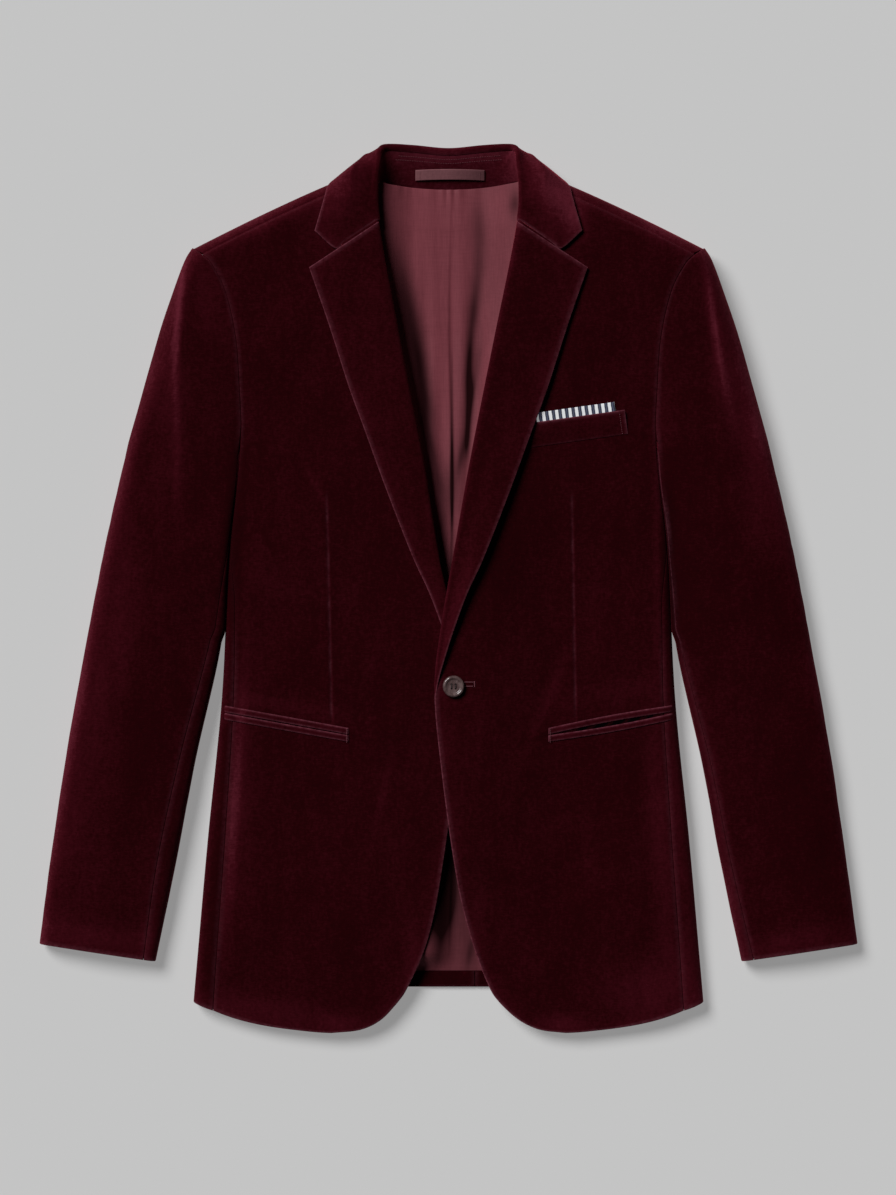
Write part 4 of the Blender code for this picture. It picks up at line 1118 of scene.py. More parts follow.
def collar_lines(shares):
    """Dense sections of the collar fall, from the seam of the stand, over the fold and down to its edge."""
    upwards = np.array((0.0, 0.0, 1.0))
    step = 0.01
    lines = []
    for share in shares:
        fold = collar_point("fold", share)
        along = collar_point("fold", share + step) - collar_point("fold", max(share - step, 0.0))
        inwards = unit(np.array((-along[1], along[0], 0.0)))
        lean = COLLAR_LEAN * ramp(share, 0.0, 1.0)
        crest = inwards * math.cos(lean) + upwards * math.sin(lean)
        to_fall = upwards * math.cos(lean) - inwards * math.sin(lean)
        radius = blend(*COLLAR_RADIUS, ramp(share, *COLLAR_RADIUS_SHARES))
        centre = fold - crest * radius
        tuck = blend(*COLLAR_TUCK, ramp(share, *COLLAR_TUCK_SHARES))
        first = centre - to_fall * radius - crest * tuck
        angle = HALF_TURN[:, None]
        turn = centre + (crest * np.cos(angle) + to_fall * np.sin(angle)) * radius
        top, middle, edge = turn[-1], collar_point("mid", share), collar_point("edge", share)
        fall = curve([top, *(blend(top, middle, part) for part in COLLAR_FALL_SHARES), middle, edge])
        lines.append(np.vstack([first, turn, fall(np.linspace(0.0, 1.0, FLAT_STEPS)[1:])]))
    return np.array(lines)


def both_halves(face):
    """Sections from the wearer's left round the back of the neck to the right."""
    return np.concatenate([face, face[-2::-1] * MIRRORED])


def collar_face():
    """The collar fall, from one gorge seam round the neck to the other."""
    shares = spread_shares(COLLAR_RUN, FINE_STEP, FREE)
    return both_halves(resample(collar_lines(shares), FINE_STEP, SEWN, FREE))


def stand_ends(shares):
    """Both edges of the collar stand: the neck seam and the seam under the fold."""
    bottom = curve(np.stack(NECK_SEAM, axis=1))(ramp_line(shares, STAND_SHARE, 1.0))
    lines = collar_lines(shares)
    behind = unit(lines[:, 2 * ARC_STEPS] - lines[:, 1])
    top = lines[:, 0] + unit(lines[:, 1] - lines[:, 0]) * STAND_OVERLAP + behind * STAND_DEPTH
    return bottom, top


def stand_face():
    """The collar stand inside the back neck."""
    shares = blend(STAND_SHARE, 1.0, spread_shares(STAND_RUN, FINE_STEP, TUCKED))
    bottom, top = stand_ends(shares)
    across = spread_shares(STAND_ACROSS, FINE_STEP, TUCKED, SEWN)
    return both_halves(bottom[:, None] + (top - bottom)[:, None] * across[None, :, None])


def lining_height(x, y):
    """Height of the lining's face, over the back and its own standing folds."""
    height = back_base(x, y) + VELVET_WALL + 2 * LAID_ON + LINING_WALL
    along = ramp_line(y, LINING_HEM, LINING_TOP)
    settled = ramp(along, *FOLDS_START) * (1.0 - FOLDS_FLATTENED * ramp(along, *FOLDS_FLATTEN))
    for x_hem, x_neck, width_left, width_right, peak in zip(*FOLDS):
        middle = blend(x_hem, x_neck, along) + FOLDS_WANDER * np.sin(y * 19.0 + x_hem * 300.0)
        width = np.where(x < middle, width_left, width_right)
        height = height + peak * settled * np.exp(-(((x - middle) / width) ** 2))
    return height


def lining_face():
    """The back lining with a centre pleat, and small gathers along the neck seam."""
    y = LINING_HEM + spread(LINING_TOP - LINING_HEM, STEP, SEWN, SEWN)
    share = np.linspace(-1.0, 1.0, LINING_COLUMNS)
    share = blend(share, share**3, LINING_CROWDING)
    x = read(LINING, "half_width", y)[:, None] * share
    y = np.broadcast_to(y[:, None], x.shape)
    in_cutaway = ramp(y, *CUTAWAY_STARTS) * (1.0 - ramp(y, *CUTAWAY_ENDS))
    height = lining_height(x, y) + CUTAWAY_RISE * ramp(-x, *CUTAWAY_ACROSS) * in_cutaway
    widened = ramp(y, *SIDE_RISE_LENGTH)
    beside = ramp(np.abs(x), blend(*SIDE_RISE_FROM, widened), blend(*SIDE_RISE_TO, widened))
    height = height + (LINING_LIFT + LINING_SIDE_RISE * beside) * ramp(y, *LINING_LIFT_LENGTH)
    joined = hermite(NECK_SEAM.x[::-1], NECK_SEAM.z[::-1], np.abs(x)) - LINING_UNDER_SEAM
    height = blend(height, np.maximum(joined, height), ramp(y, LINING_TOP - LINING_RISE, LINING_TOP))
    gathers = np.sin(x * 620.0 + 1.5 * np.sin(x * 170.0)) * (0.6 + 0.4 * np.sin(x * 95.0 + 1.0))
    height = height + GATHER_HEIGHT * gathers * np.exp((y - LINING_TOP) / GATHER_RUN)
    swept = SWEEP * (x / SWEEP_WIDTH) ** 2 * ramp(y, LINING_TOP - SWEEP_RUN, LINING_TOP)
    return np.stack([x, y + swept, height], axis=-1)


def along_sleeve(column, share):
    """A column of the sleeve's tables at shares of its length."""
    last = len(column) - 1
    return hermite(np.arange(last + 1), column, share * last)


def sleeve_sections(share):
    """The sleeve's table at shares of its length, with its inner outline against the body at the top."""
    at = SLEEVE._make(along_sleeve(column, share) for column in SLEEVE)
    inner = pair(at.inner_x, at.inner_y)
    across = unit(pair(at.outer_x, at.outer_y) - inner)
    apart = inner[:, 0] - read(BODY, "half_width", inner[:, 1]) + TOUCH
    inner[:, 0] -= apart * ramp(inner[:, 1], *TOUCH_RUN)
    return at, inner, across


def forearm_distance(share, side):
    """Distance of the forearm seam from the inner outline, at shares of the sleeve's length."""
    return along_sleeve(getattr(FOREARM, NAMES[side]), share)


def fold_outline(y):
    """Inner outline of the sleeve in the fold above the underarm."""
    return armhole_x(y) - TOUCH + (read(BODY, "half_width", UNDERARM) - ARMHOLE.x[0]) * fold_left(y)


Station = namedtuple("Station", "start outer end height roll distance corner")


def sleeve_stations(side):
    """The sleeve's sections: start on top, outline, end underneath, height, outer roll and inner roll."""
    low = spread_shares(SLEEVE_RUN, STEP, FREE)
    high = spread_shares(ARM_RUN, STEP, None, SEWN)[1:] ** ARM_SPACING
    at, inner, across = sleeve_sections(low)
    distance = forearm_distance(low, side)
    lower = Station(
        inner + across * (distance + SEAM)[:, None],
        pair(at.outer_x, at.outer_y),
        inner + across * (at.hindarm + SEAM)[:, None],
        at.height,
        at.height / 2,
        distance + SEAM,
        at.corner,
    )
    start = armhole(high, 0.5 * SEAM)
    left = fold_left(start[:, 1])
    fold = fold_outline(UNDERARM) + FOLD_DISTANCE - ARMHOLE.x[0]
    start[:, 0] += fold * left
    upper = Station(
        start,
        armhole_row(high, "head_x", "head_y"),
        start,
        body_height(start[:, 0], start[:, 1], RIGHT),
        blend(SLEEVE.height[-1] / 2, SHOULDER_ROLL, ramp(start[:, 1], *SLEEVE_ROLL_GROWS)),
        FOLD_DISTANCE * left,
        FOLD_CORNER * left * (1.0 - ramp(start[:, 1], UNDERARM, UNDERARM_END)),
    )
    return [np.concatenate(both) for both in zip(lower, upper)]


def top_sleeve_face(side):
    """The top sleeve: from the forearm seam or armhole, over the outer edge, to the seam underneath."""
    lines = []
    for start, outer, end, height, roll, distance, corner in zip(*sleeve_stations(side)):
        reach = np.linalg.norm(outer - start)
        outwards = unit(outer - start)
        top_end = math.acos(1.0 - reach / roll) if reach < roll else math.pi / 2
        half = height / (1.0 + math.sin(top_end))

        def turn(angle):
            angle = np.asarray(angle, float)
            place = outer - outwards * (roll * (1.0 - np.cos(angle)))[..., None]
            return raised(place, half * (1.0 + np.sin(angle)))

        if reach < roll:
            lines.append(turn(np.linspace(top_end, -top_end, FLAT_STEPS + 2 * ARC_STEPS + 8)))
            continue
        share = np.linspace(0.0, 1.0, FLAT_STEPS, endpoint=False)[:, None] ** SLEEVE_CROWDING
        flat = blend(raised(start, height), turn(math.pi / 2), share)
        flat[:, 2:] += SLEEVE_CROWN * np.sin(math.pi * share) * ramp(reach, *SLEEVE_CROWN_WIDTH)
        flat[:, 2:] -= roll_drop(distance + (reach - roll) * share, corner)
        share = np.linspace(0.0, 1.0, SLEEVE_UNDER_STEPS)[1:, None]
        under = blend(turn(-math.pi / 2), raised(end, 0.0), share)
        lines.append(np.vstack([flat, turn(np.radians(np.linspace(90, -90, 2 * ARC_STEPS))), under]))
    return sleeve_folds(resample(np.array(lines), STEP, SEWN, TUCKED), side)


def sleeve_folds(face, side):
    """A sleeve's face with its soft creases, and shallow ones on the side it lies on."""
    normal = grid_normals(face)
    x, y = face[..., 0], face[..., 1]
    on_top = np.clip(normal[..., 2:], 0.0, 1.0) ** 0.5
    below = np.clip(-normal[..., 2:], 0.0, 1.0) ** 0.5
    made = ridges(x, y, SLEEVE_CREASES[side]) + drape(x * side, y) * ramp(y, *CUFF_CALM)
    made = made * (1.0 - HEAD_CALMED * ramp(y, *HEAD_CALM))
    return face + normal * (made[..., None] * on_top - np.abs(made)[..., None] * FOLDS_BELOW * below)


def under_sleeve_face(side):
    """The under sleeve: from the seam underneath, round the inner edge, to the forearm seam on top."""
    share = spread_shares(SLEEVE_RUN, STEP, FREE)
    at, inner, across = sleeve_sections(share)
    seam = inner + across * forearm_distance(share, side)[:, None]
    lines = rolled(seam, inner, at.height, at.corner, at.hindarm)
    y = UNDERARM + spread(UNDERARM_END - UNDERARM, STEP, None, TUCKED)[1:]
    left = fold_left(y)
    inner = pair(fold_outline(y), y)
    seam = inner + np.array((1.0, 0.0)) * (FOLD_DISTANCE * left)[:, None]
    height = body_height(seam[:, 0], y, RIGHT) - fold_sink(y)
    above = off_table(rolled(seam, inner, height, FOLD_CORNER * left, FOLD_REACH * left))
    return sleeve_folds(resample(np.concatenate([lines, above])[:, ::-1], STEP, TUCKED, SEWN), side)


def body_skin(x, y, side, lift):
    """Points above the body's face, where x past the start of the side's roll runs on round it."""
    corner = read(BODY, "corner", y)
    roll_start = read(BODY, "half_width", y) - corner
    angle = np.maximum((x - roll_start) / corner, 0.0)
    flat_x = np.minimum(x, roll_start)
    height = front_height(flat_x, y, side) + ridges(flat_x, y, FRONT_CREASES[side])
    outwards = flat_x + (corner + lift) * np.sin(angle)
    return np.stack([outwards, y, height - corner + (corner + lift) * np.cos(angle)], axis=-1)


def jet_face(side, upper):
    """One jet of a hip pocket, a padded strip from its inner end round to the side of the body."""
    roll_x = read(BODY, "half_width", MOUTH_AT[1]) - read(BODY, "corner", MOUTH_AT[1])
    outer_x = roll_x + read(BODY, "corner", MOUTH_AT[1]) * JET_WRAP
    xs = JET_INNER_X + spread(outer_x - JET_INNER_X, FINE_STEP, FREE, TUCKED)
    across = spread(JET_HEIGHT, JET_STEP, FREE, FREE)
    x, offset = np.meshgrid(xs, across)
    share = ramp_line(x, JET_INNER_X, outer_x)
    mouth = MOUTH_AT[1] + (x - MOUTH_AT[0]) * MOUTH_SLOPE
    gap = blend(JET_END_GAP, MOUTH_GAP[side] / 2, np.sin(math.pi * share))
    y = mouth + (gap + offset if upper else -gap - JET_HEIGHT + offset)
    padding = JET_PADDING * np.sin(math.pi * offset / JET_HEIGHT)
    settled = ramp(x, *(outer_x - before for before in JET_SETTLES))
    return body_skin(x, y, side, blend(LAID_ON + JET_STAND + padding, -JET_SINK, settled))


def chest_face(start_share, end_share, low, high, lifts, ends, edges):
    """A strip on the left front along the breast pocket's mouth, and the distance along it."""
    way = WELT_OUTER - WELT_INNER
    length = np.linalg.norm(way)
    along = way / length
    upwards = np.array((-along[1], along[0]))
    start = start_share * length
    run = start + spread((end_share - start_share) * length, FINE_STEP, *ends)
    across = spread(high - low, FINE_STEP, *edges)
    place = WELT_INNER + along * run[None, :, None] + upwards * (low + across)[:, None, None]
    lift = blend(*lifts, across / (high - low))[:, None]
    height = front_height(place[..., 0], place[..., 1], LEFT) + lift
    height = height + ridges(place[..., 0], place[..., 1], FRONT_CREASES[LEFT])
    return raised(place, height), np.broadcast_to(run, height.shape)


def loop_face():
    """The hanger loop, standing a little off the collar stand between its sewn ends."""
    ends = stand_ends(np.array((LOOP_REACH, blend(LOOP_REACH, 1.0, 0.5), 1.0)))
    low, high = (curve(both_halves(line)) for line in ends)
    x = LOOP_MIDDLE - LOOP_HALF_LENGTH + spread(2 * LOOP_HALF_LENGTH, LOOP_STEP, SEWN, SEWN)
    hump = 1.0 - ((x - LOOP_MIDDLE) / LOOP_HALF_LENGTH) ** 2
    away = (1.0 - x / low(0.0)[0]) / 2
    bottom, top = low(away), high(away)
    along = unit(top - bottom)
    normal = unit(np.stack([np.zeros(len(x)), -along[:, 2], along[:, 1]], axis=1))
    rows = []
    stand_off = LAID_ON + LINING_WALL + LOOP_BOW * hump
    for share in spread_shares(LOOP_ACROSS, LOOP_CROSS_STEP, SEWN, SEWN):
        y = blend(*LOOP_EDGES, share) + LOOP_RISE * hump
        at = (y - bottom[:, 1] - normal[:, 1] * stand_off) / (top - bottom)[:, 1]
        place = bottom + (top - bottom) * at[:, None] + normal * stand_off[:, None]
        rows.append(np.stack([x, place[:, 1], place[:, 2]], axis=1))
    return np.array(rows)


def dart_marks(face, side):
    """The worn line along a front's dart."""
    y = face[..., 1]
    along, away = dart_place(face[..., 0], y, side)
    broken = MARK + MARK_VARIES * np.sin(y * MARK_WAVES[0] + side) * np.sin(y * MARK_WAVES[1] + MARK_PHASE)
    shown = ramp(along, *MARK_STARTS) * (1.0 - ramp(along, *MARK_ENDS))
    return broken * shown * np.exp(-((away / LINE_WIDTH) ** 2))


def seam_tape(name, line, normal, side):
    """A strip of cloth under a seam, which keeps it from gaping."""
    across = unit(np.cross(unit(np.gradient(line, axis=0)), normal))
    offsets = np.linspace(-0.5, 0.5, TAPE_COLUMNS) * TAPE_WIDTH
    face = (line - normal * TAPE_DEPTH)[:, None] + across[:, None] * offsets[None, :, None]
    return shell(name, face, TRIM_WALL, (TUCKED,) * 4, VELVET, side, lift=TAPE_NAP)


def tapes(side):
    """The tapes under the seams of one side, each along a row or a column of a piece's grid."""
    grids = {group: FACES[group + "_" + NAMES[side]] for group in TAPED}

    def tape(seam, group, rows, columns):
        face = grids[group]
        normal = grid_normals(face)
        seam_tape(seam + "_tape_" + NAMES[side], face[rows, columns], normal[rows, columns], side)

    cuff_up = grids["top_sleeve"][:, 0, 1]
    hem_up = grids["side_panel"][:, -1, 1]
    gorge_out = grids["lapel"][-1, :, 0]
    most = np.s_[RIM_STEPS // 2 : -RIM_STEPS // 2]
    tape("side", "front", np.s_[RIM_STEPS:], -1)
    tape("shoulder", "front", -1, np.s_[RIM_STEPS:])
    tape("forearm", "top_sleeve", np.flatnonzero(cuff_up < FOREARM_TAPE_END)[RIM_STEPS:], 0)
    tape("hindarm", "top_sleeve", np.flatnonzero(cuff_up < UNDERARM)[most], -1)
    tape("side_back", "side_panel", np.flatnonzero(hem_up < UNDERARM)[most], -1)
    if side == LEFT:
        tape("centre", "back", np.s_[RIM_STEPS // 2 : -RIM_STEPS], -1)
    tape("gorge", "lapel", -1, np.flatnonzero(gorge_out < COLLAR.mid_x[0] - GORGE_TAPE_SHORT))


def at_length(known, values, at):
    """Points or directions of a line, at a length along it."""
    return np.array([np.interp(at, known, values[:, axis]) for axis in range(3)])


def tube(first, rings, corners):
    """Faces between rings of points, counted from the number of the first point."""
    made = []
    for low in range(first, first + (rings - 1) * corners, corners):
        for corner in range(corners):
            after = (corner + 1) % corners
            made.append((low + corner, low + after, low + corners + after, low + corners + corner))
    return made


def stitches(name, line, normals, sewing, look, slot, lift=0.0):
    """A run of short sewn stitches along a line, each a thread that dips into the cloth at both ends."""
    pitch, share, radius = sewing
    known = lengths_along(line)
    points, faces = [], []
    turn = np.radians(np.arange(THREAD_CORNERS) * 360.0 / THREAD_CORNERS)
    for number in range(max(int(known[-1] / pitch), 1)):
        start = (number + (1.0 - share) / 2) * pitch
        for part, size, height in STITCH:
            at = start + part * share * pitch
            ahead = at_length(known, line, at + THREAD_PROBE)
            way = unit(ahead - at_length(known, line, at - THREAD_PROBE))
            sideways = unit(np.cross(way, at_length(known, normals, at)))
            up = np.cross(sideways, way)
            ring = np.outer(np.cos(turn), sideways) + np.outer(np.sin(turn), up)
            points.append(at_length(known, line, at) + up * (height * radius + lift) + ring * radius * size)
        first = number * len(STITCH) * THREAD_CORNERS
        last = first + (len(STITCH) - 1) * THREAD_CORNERS
        faces += tube(first, len(STITCH), THREAD_CORNERS)
        faces.append(tuple(range(first, first + THREAD_CORNERS))[::-1])
        faces.append(tuple(range(last, last + THREAD_CORNERS)))
    return add_mesh(name, np.concatenate(points), faces, look)


Nodes = namedtuple("Nodes", "tree shader")


def material(name):
    """A new material with a Principled shader."""
    made = bpy.data.materials.new(name)
    made.use_nodes = True
    return made, Nodes(made.node_tree, made.node_tree.nodes["Principled BSDF"])


def fill(nodes, made, inputs):
    """Set a node's inputs to values, or link them to other nodes' outputs."""
    for name, value in inputs.items():
        if isinstance(value, bpy.types.NodeSocket):
            nodes.tree.links.new(value, made.inputs[name])
        else:
            made.inputs[name].default_value = value


def node(nodes, kind, inputs, **settings):
    """A shader node with settings, and inputs set to values or linked to other nodes' outputs."""
    made = nodes.tree.nodes.new(kind)
    for name, value in settings.items():
        setattr(made, name, value)
    fill(nodes, made, inputs)
    return made


def sums(nodes, operation, *values):
    """The output of a math node."""
    return node(nodes, "ShaderNodeMath", dict(enumerate(values)), operation=operation).outputs[0]


def plus(nodes, value, factor, added):
    """A value times a factor, with something added."""
    return sums(nodes, "MULTIPLY_ADD", value, factor, added)


def clamped(nodes, value, highest=1.0):
    """A value kept between 0 and the highest."""
    return node(nodes, "ShaderNodeClamp", {"Value": value, "Max": highest}).outputs[0]


def bumped(nodes, strength, distance, height):
    """The normal of a surface roughened by a height."""
    inputs = {"Strength": strength, "Distance": distance, "Height": height}
    return node(nodes, "ShaderNodeBump", inputs).outputs[0]


def mixed(nodes, share, first, second):
    """A mix of two colours."""
    made = node(nodes, "ShaderNodeMix", {0: share}, data_type="RGBA")
    for index, colour in ((6, first), (7, second)):
        fill(nodes, made, {index: (*colour, 1.0) if isinstance(colour, tuple) else colour})
    return made.outputs[2]


def object_place(nodes, stretch=(1.0, 1.0, 1.0)):
    """Places on the object, stretched along the axes."""
    place = node(nodes, "ShaderNodeTexCoord", {}).outputs["Object"]
    return node(nodes, "ShaderNodeVectorMath", {0: place, 1: stretch}, operation="MULTIPLY").outputs[0]


def noise(nodes, scale, detail, rough=0.55, stretch=(1.0, 1.0, 1.0)):
    """The grey output of a noise texture on the object, stretched along the axes."""
    inputs = {"Vector": object_place(nodes, stretch), "Scale": scale, "Detail": detail, "Roughness": rough}
    return node(nodes, "ShaderNodeTexNoise", inputs).outputs["Fac"]


def attribute(nodes, name):
    """A number kept at the points of the mesh."""
    return node(nodes, "ShaderNodeAttribute", {}, attribute_name=name).outputs["Fac"]


def ramped(nodes, value, *stops):
    """A smooth run of colours over a value."""
    made = node(nodes, "ShaderNodeValToRGB", {0: value})
    elements = made.color_ramp.elements
    while len(elements) < len(stops):
        elements.new(0.5)
    for element, (place, colour) in zip(elements, stops):
        element.position = place
        element.color = (*colour, 1.0)
    return made.outputs["Color"]


# Colours of the lines along the velvet's edges, part wear and part painted sheen, and of the painted shade
# on satin
LINE_WEAR_AND_SHEEN = (0.25, 0.068, 0.098)
SATIN_SHADE_COLOUR = (0.012, 0.0003, 0.0009)


def velvet(name):
    """Cotton velvet: dark pile, brushed here and there, with painted sheen and painted shade in patches, a
    painted sheen halo and sheen on its turns, and a line along its edges that is part wear and part painted
    sheen.
    """
    made, nodes = material(name)
    streaks = noise(nodes, 62.0, 4.0, 0.6, (1.0, 0.22, 1.0))
    clouds = noise(nodes, 24.0, 3.0, 0.6)
    grain = noise(nodes, 420.0, 3.0, 0.6, (1.0, 0.55, 1.0))
    mottle = noise(nodes, 130.0, 3.0, 0.6, (1.0, 0.7, 1.0))
    weft = noise(nodes, 760.0, 2.0, 0.6, (0.3, 1.0, 0.6))
    pile = noise(nodes, 1500.0, 2.0, 0.5)
    pile_and_light = plus(nodes, attribute(nodes, "nap_and_painted_light"), 0.5, 0.37)
    for source, amount in ((streaks, 0.20), (clouds, 0.14), (mottle, 0.14), (grain, 0.36), (weft, 0.34)):
        pile_and_light = sums(nodes, "ADD", pile_and_light, plus(nodes, source, amount, -amount / 2))
    pile_and_light = plus(nodes, attribute(nodes, "sheen_halo"), 0.16, pile_and_light)
    colour = ramped(
        nodes,
        plus(nodes, pile_and_light, 0.8, 0.2),
        (0.0, (0.0008, 0.0001, 0.0001)),
        (0.2, (0.0120, 0.0003, 0.0011)),
        (0.48, (0.0270, 0.0006, 0.0022)),
        (0.72, (0.0640, 0.0040, 0.0090)),
        (1.0, (0.1500, 0.0180, 0.0330)),
    )
    broken = plus(nodes, noise(nodes, 260.0, 2.0, 0.6), 1.6, -0.25)
    # The line along edges and seams: part wear, part painted sheen
    wear_and_sheen = clamped(nodes, sums(nodes, "MULTIPLY", attribute(nodes, "line"), broken))
    looks = {
        "Base Color": mixed(nodes, wear_and_sheen, colour, LINE_WEAR_AND_SHEEN),
        "Normal": bumped(nodes, 0.5, 0.4 * MM, plus(nodes, grain, 0.6, pile)),
        "Roughness": 0.92,
        "Specular IOR Level": 0.04,
        "Sheen Weight": 0.55,
        "Sheen Roughness": 0.32,
        "Sheen Tint": (0.62, 0.07, 0.11, 1.0),
    }
    fill(nodes, nodes.shader, looks)
    return made


def satin(name, low, high):
    """Lining satin: a close twill with a soft gloss, duller in patches and darkened there with painted
    shade.
    """
    made, nodes = material(name)
    wave = {"Vector": object_place(nodes), "Scale": 520.0, "Distortion": 0.6}
    wave |= {"Detail": 1.0, "Detail Scale": 2.0}
    twill = node(nodes, "ShaderNodeTexWave", wave, bands_direction="DIAGONAL").outputs["Fac"]
    threads = noise(nodes, 900.0, 2.0, 0.5, (1.0, 0.06, 1.0))
    cloudy = noise(nodes, 30.0, 3.0, 0.55, (1.0, 0.3, 1.0))
    picks = noise(nodes, 800.0, 2.0, 0.6, (0.08, 1.0, 0.5))
    shade = plus(nodes, threads, 0.3, sums(nodes, "MULTIPLY", cloudy, 0.2))
    colour = ramped(nodes, plus(nodes, picks, 0.22, shade), (0.12, low), (0.6, high))
    # Painted shade from the mesh darkens the colour towards the shade colour, and the gloss is duller there
    shade_and_dullness = clamped(nodes, attribute(nodes, "nap_and_painted_light"), 0.97)
    looks = {
        "Base Color": mixed(nodes, shade_and_dullness, colour, SATIN_SHADE_COLOUR),
        "Normal": bumped(nodes, 0.25, 0.2 * MM, plus(nodes, twill, 0.5, threads)),
        "Roughness": plus(nodes, shade_and_dullness, 0.35, plus(nodes, cloudy, 0.2, 0.36)),
        "Specular IOR Level": 0.10,
        "Sheen Weight": 0.03,
        "Sheen Roughness": 0.4,
        "Sheen Tint": (0.8, 0.45, 0.5, 1.0),
    }
    fill(nodes, nodes.shader, looks)
    return made


def striped(name):
    """Striped cotton: white bars and navy ones, which have fine paler lines, in a plain weave, with a faint
    glow of painted light.
    """
    made, nodes = material(name)
    wobble = plus(nodes, noise(nodes, 300.0, 2.0), 0.8 * MM, attribute(nodes, "along"))
    deep_navy, navy = (0.020, 0.024, 0.050), (0.028, 0.034, 0.066)
    colour = ramped(
        nodes,
        sums(nodes, "FRACT", sums(nodes, "DIVIDE", wobble, STRIPE_PITCH)),
        (0.00, deep_navy),
        (0.18, navy),
        (0.24, (0.150, 0.165, 0.230)),
        (0.30, navy),
        (0.48, deep_navy),
        (0.53, (0.880, 0.890, 0.910)),
        (0.95, (0.900, 0.910, 0.930)),
        (1.00, deep_navy),
    )
    weave = noise(nodes, 1400.0, 2.0, stretch=(1.0, 0.4, 1.0))
    colour = mixed(nodes, sums(nodes, "MULTIPLY", weave, 0.08), colour, (0.2, 0.2, 0.24))
    looks = {
        "Base Color": colour,
        "Normal": bumped(nodes, 0.3, 0.2 * MM, weave),
        # A faint glow in the stripes' own colour: painted light
        "Emission Color": colour,
        "Emission Strength": 0.28,
        "Roughness": 0.75,
        "Specular IOR Level": 0.2,
    }
    fill(nodes, nodes.shader, looks)
    return made


def horn(name):
    """Polished horn: grey brown with darker veins."""
    made, nodes = material(name)
    veins = noise(nodes, 320.0, 5.0, 0.65, (1.0, 0.45, 1.0))
    stops = ((0.3, (0.070, 0.038, 0.037)), (0.55, (0.155, 0.098, 0.096)), (0.75, (0.26, 0.18, 0.175)))
    looks = {
        "Base Color": ramped(nodes, veins, *stops),
        "Roughness": plus(nodes, veins, 0.2, 0.12),
        "Specular IOR Level": 0.6,
        "Coat Weight": 0.4,
        "Coat Roughness": 0.08,
    }
    fill(nodes, nodes.shader, looks)
    return made


def thread(name, colour):
    """Twisted sewing thread."""
    made, nodes = material(name)
    shade = mixed(nodes, noise(nodes, 2200.0, 2.0), tuple(0.55 * part for part in colour), colour)
    looks = {"Base Color": shade, "Roughness": 0.6, "Specular IOR Level": 0.25, "Sheen Weight": 0.3}
    fill(nodes, nodes.shader, looks)
    return made


VELVET = velvet("velvet")
SATIN = satin("satin", (0.197, 0.044, 0.058), (0.367, 0.090, 0.116))
# The hanger loop's satin is a lighter copy of the lining satin: painted light on the loop, which lies in
# the shade of the collar stand
LIT_LOOP_SATIN = satin("satin_loop_painted_light", (0.232, 0.090, 0.104), (0.445, 0.182, 0.206))
STRIPED = striped("striped_cotton")
HORN = horn("horn")
PINK_THREAD = thread("thread_rose", (0.30, 0.075, 0.105))
DARK_THREAD = thread("thread_dark", (0.030, 0.012, 0.014))

# The cloth shells of both sides, each in place of its solid: how the face is made, the wall, the rims, and
# the lift of the nap, for both sides alike and turned round on the right. The lifts paint light and shade:
# the side panel lighter on the wearer's left and darker on the right, the back's hem and under sleeves
# darker
Cloth = namedtuple("Cloth", "group make wall rims lift turned_lift", defaults=(0.0, 0.0))
JET_RIMS = (FREE, FREE, FREE, TUCKED)
SIDED = (
    Cloth("front", front_face, VELVET_WALL, (FREE, SEWN, FREE, SEWN)),
    Cloth("side_panel", side_panel_face, VELVET_WALL, (FREE, TUCKED, SEWN, TUCKED), 0.02, 0.16),
    Cloth("back", back_face, VELVET_WALL, (FREE, TUCKED, TUCKED, TUCKED)),
    Cloth("back_hem", back_hem_face, TRIM_WALL, (SEWN, TUCKED, SEWN, TUCKED), -0.3),
    Cloth("lapel", lapel_face, VELVET_WALL, (SEWN, FREE, None, FREE)),
    Cloth("top_sleeve", top_sleeve_face, VELVET_WALL, (FREE, SEWN, SEWN, TUCKED)),
    Cloth("under_sleeve", under_sleeve_face, VELVET_WALL, (FREE, TUCKED, TUCKED, SEWN), -0.06),
    Cloth("jet_upper", partial(jet_face, upper=True), TRIM_WALL, JET_RIMS),
    Cloth("jet_lower", partial(jet_face, upper=False), TRIM_WALL, JET_RIMS),
)
for hand, hand_name in NAMES.items():
    for cloth in SIDED:
        grid = cloth.make(hand)
        marks = dart_marks(grid, hand) if cloth.group == "front" else None
        lift = cloth.lift + cloth.turned_lift * hand
        name = cloth.group + "_" + hand_name
        shell(name, grid, cloth.wall, cloth.rims, VELVET, hand, lift=lift, marks=marks)
    tapes(hand)

# The shells that have no sides
# The collar stand's nap lift is painted light on cloth that lies in the shade of the collar's fold
STAND_PAINTED_LIGHT = 0.42
STAND_RIMS = (TUCKED, TUCKED, TUCKED, SEWN)
shell("collar_fall", collar_face(), VELVET_WALL, (FREE, FREE, SEWN, FREE), VELVET)
shell("collar_stand", stand_face(), VELVET_WALL, STAND_RIMS, VELVET, lift=STAND_PAINTED_LIGHT)
shell("back_lining", lining_face(), LINING_WALL, (SEWN, SEWN, None, None), SATIN)
shell("hanger_loop", loop_face(), LINING_WALL, (SEWN, SEWN, SEWN, SEWN), LIT_LOOP_SATIN)
grid, run = chest_face(0, 1, -WELT_HEIGHT, 0.0, WELT_LIFTS, (SEWN, FREE), (SEWN, FREE))
shell("breast_welt", grid, TRIM_WALL, (SEWN, FREE, SEWN, FREE), VELVET)
low, high = -INSERT_BELOW, INSERT_ABOVE
grid, run = chest_face(*INSERT_SHARES, low, high, INSERT_LIFTS, (SEWN, SEWN), (TUCKED, SEWN))
shell("pocket_insert", grid, TRIM_WALL, (TUCKED, SEWN, SEWN, SEWN), STRIPED, along=run)


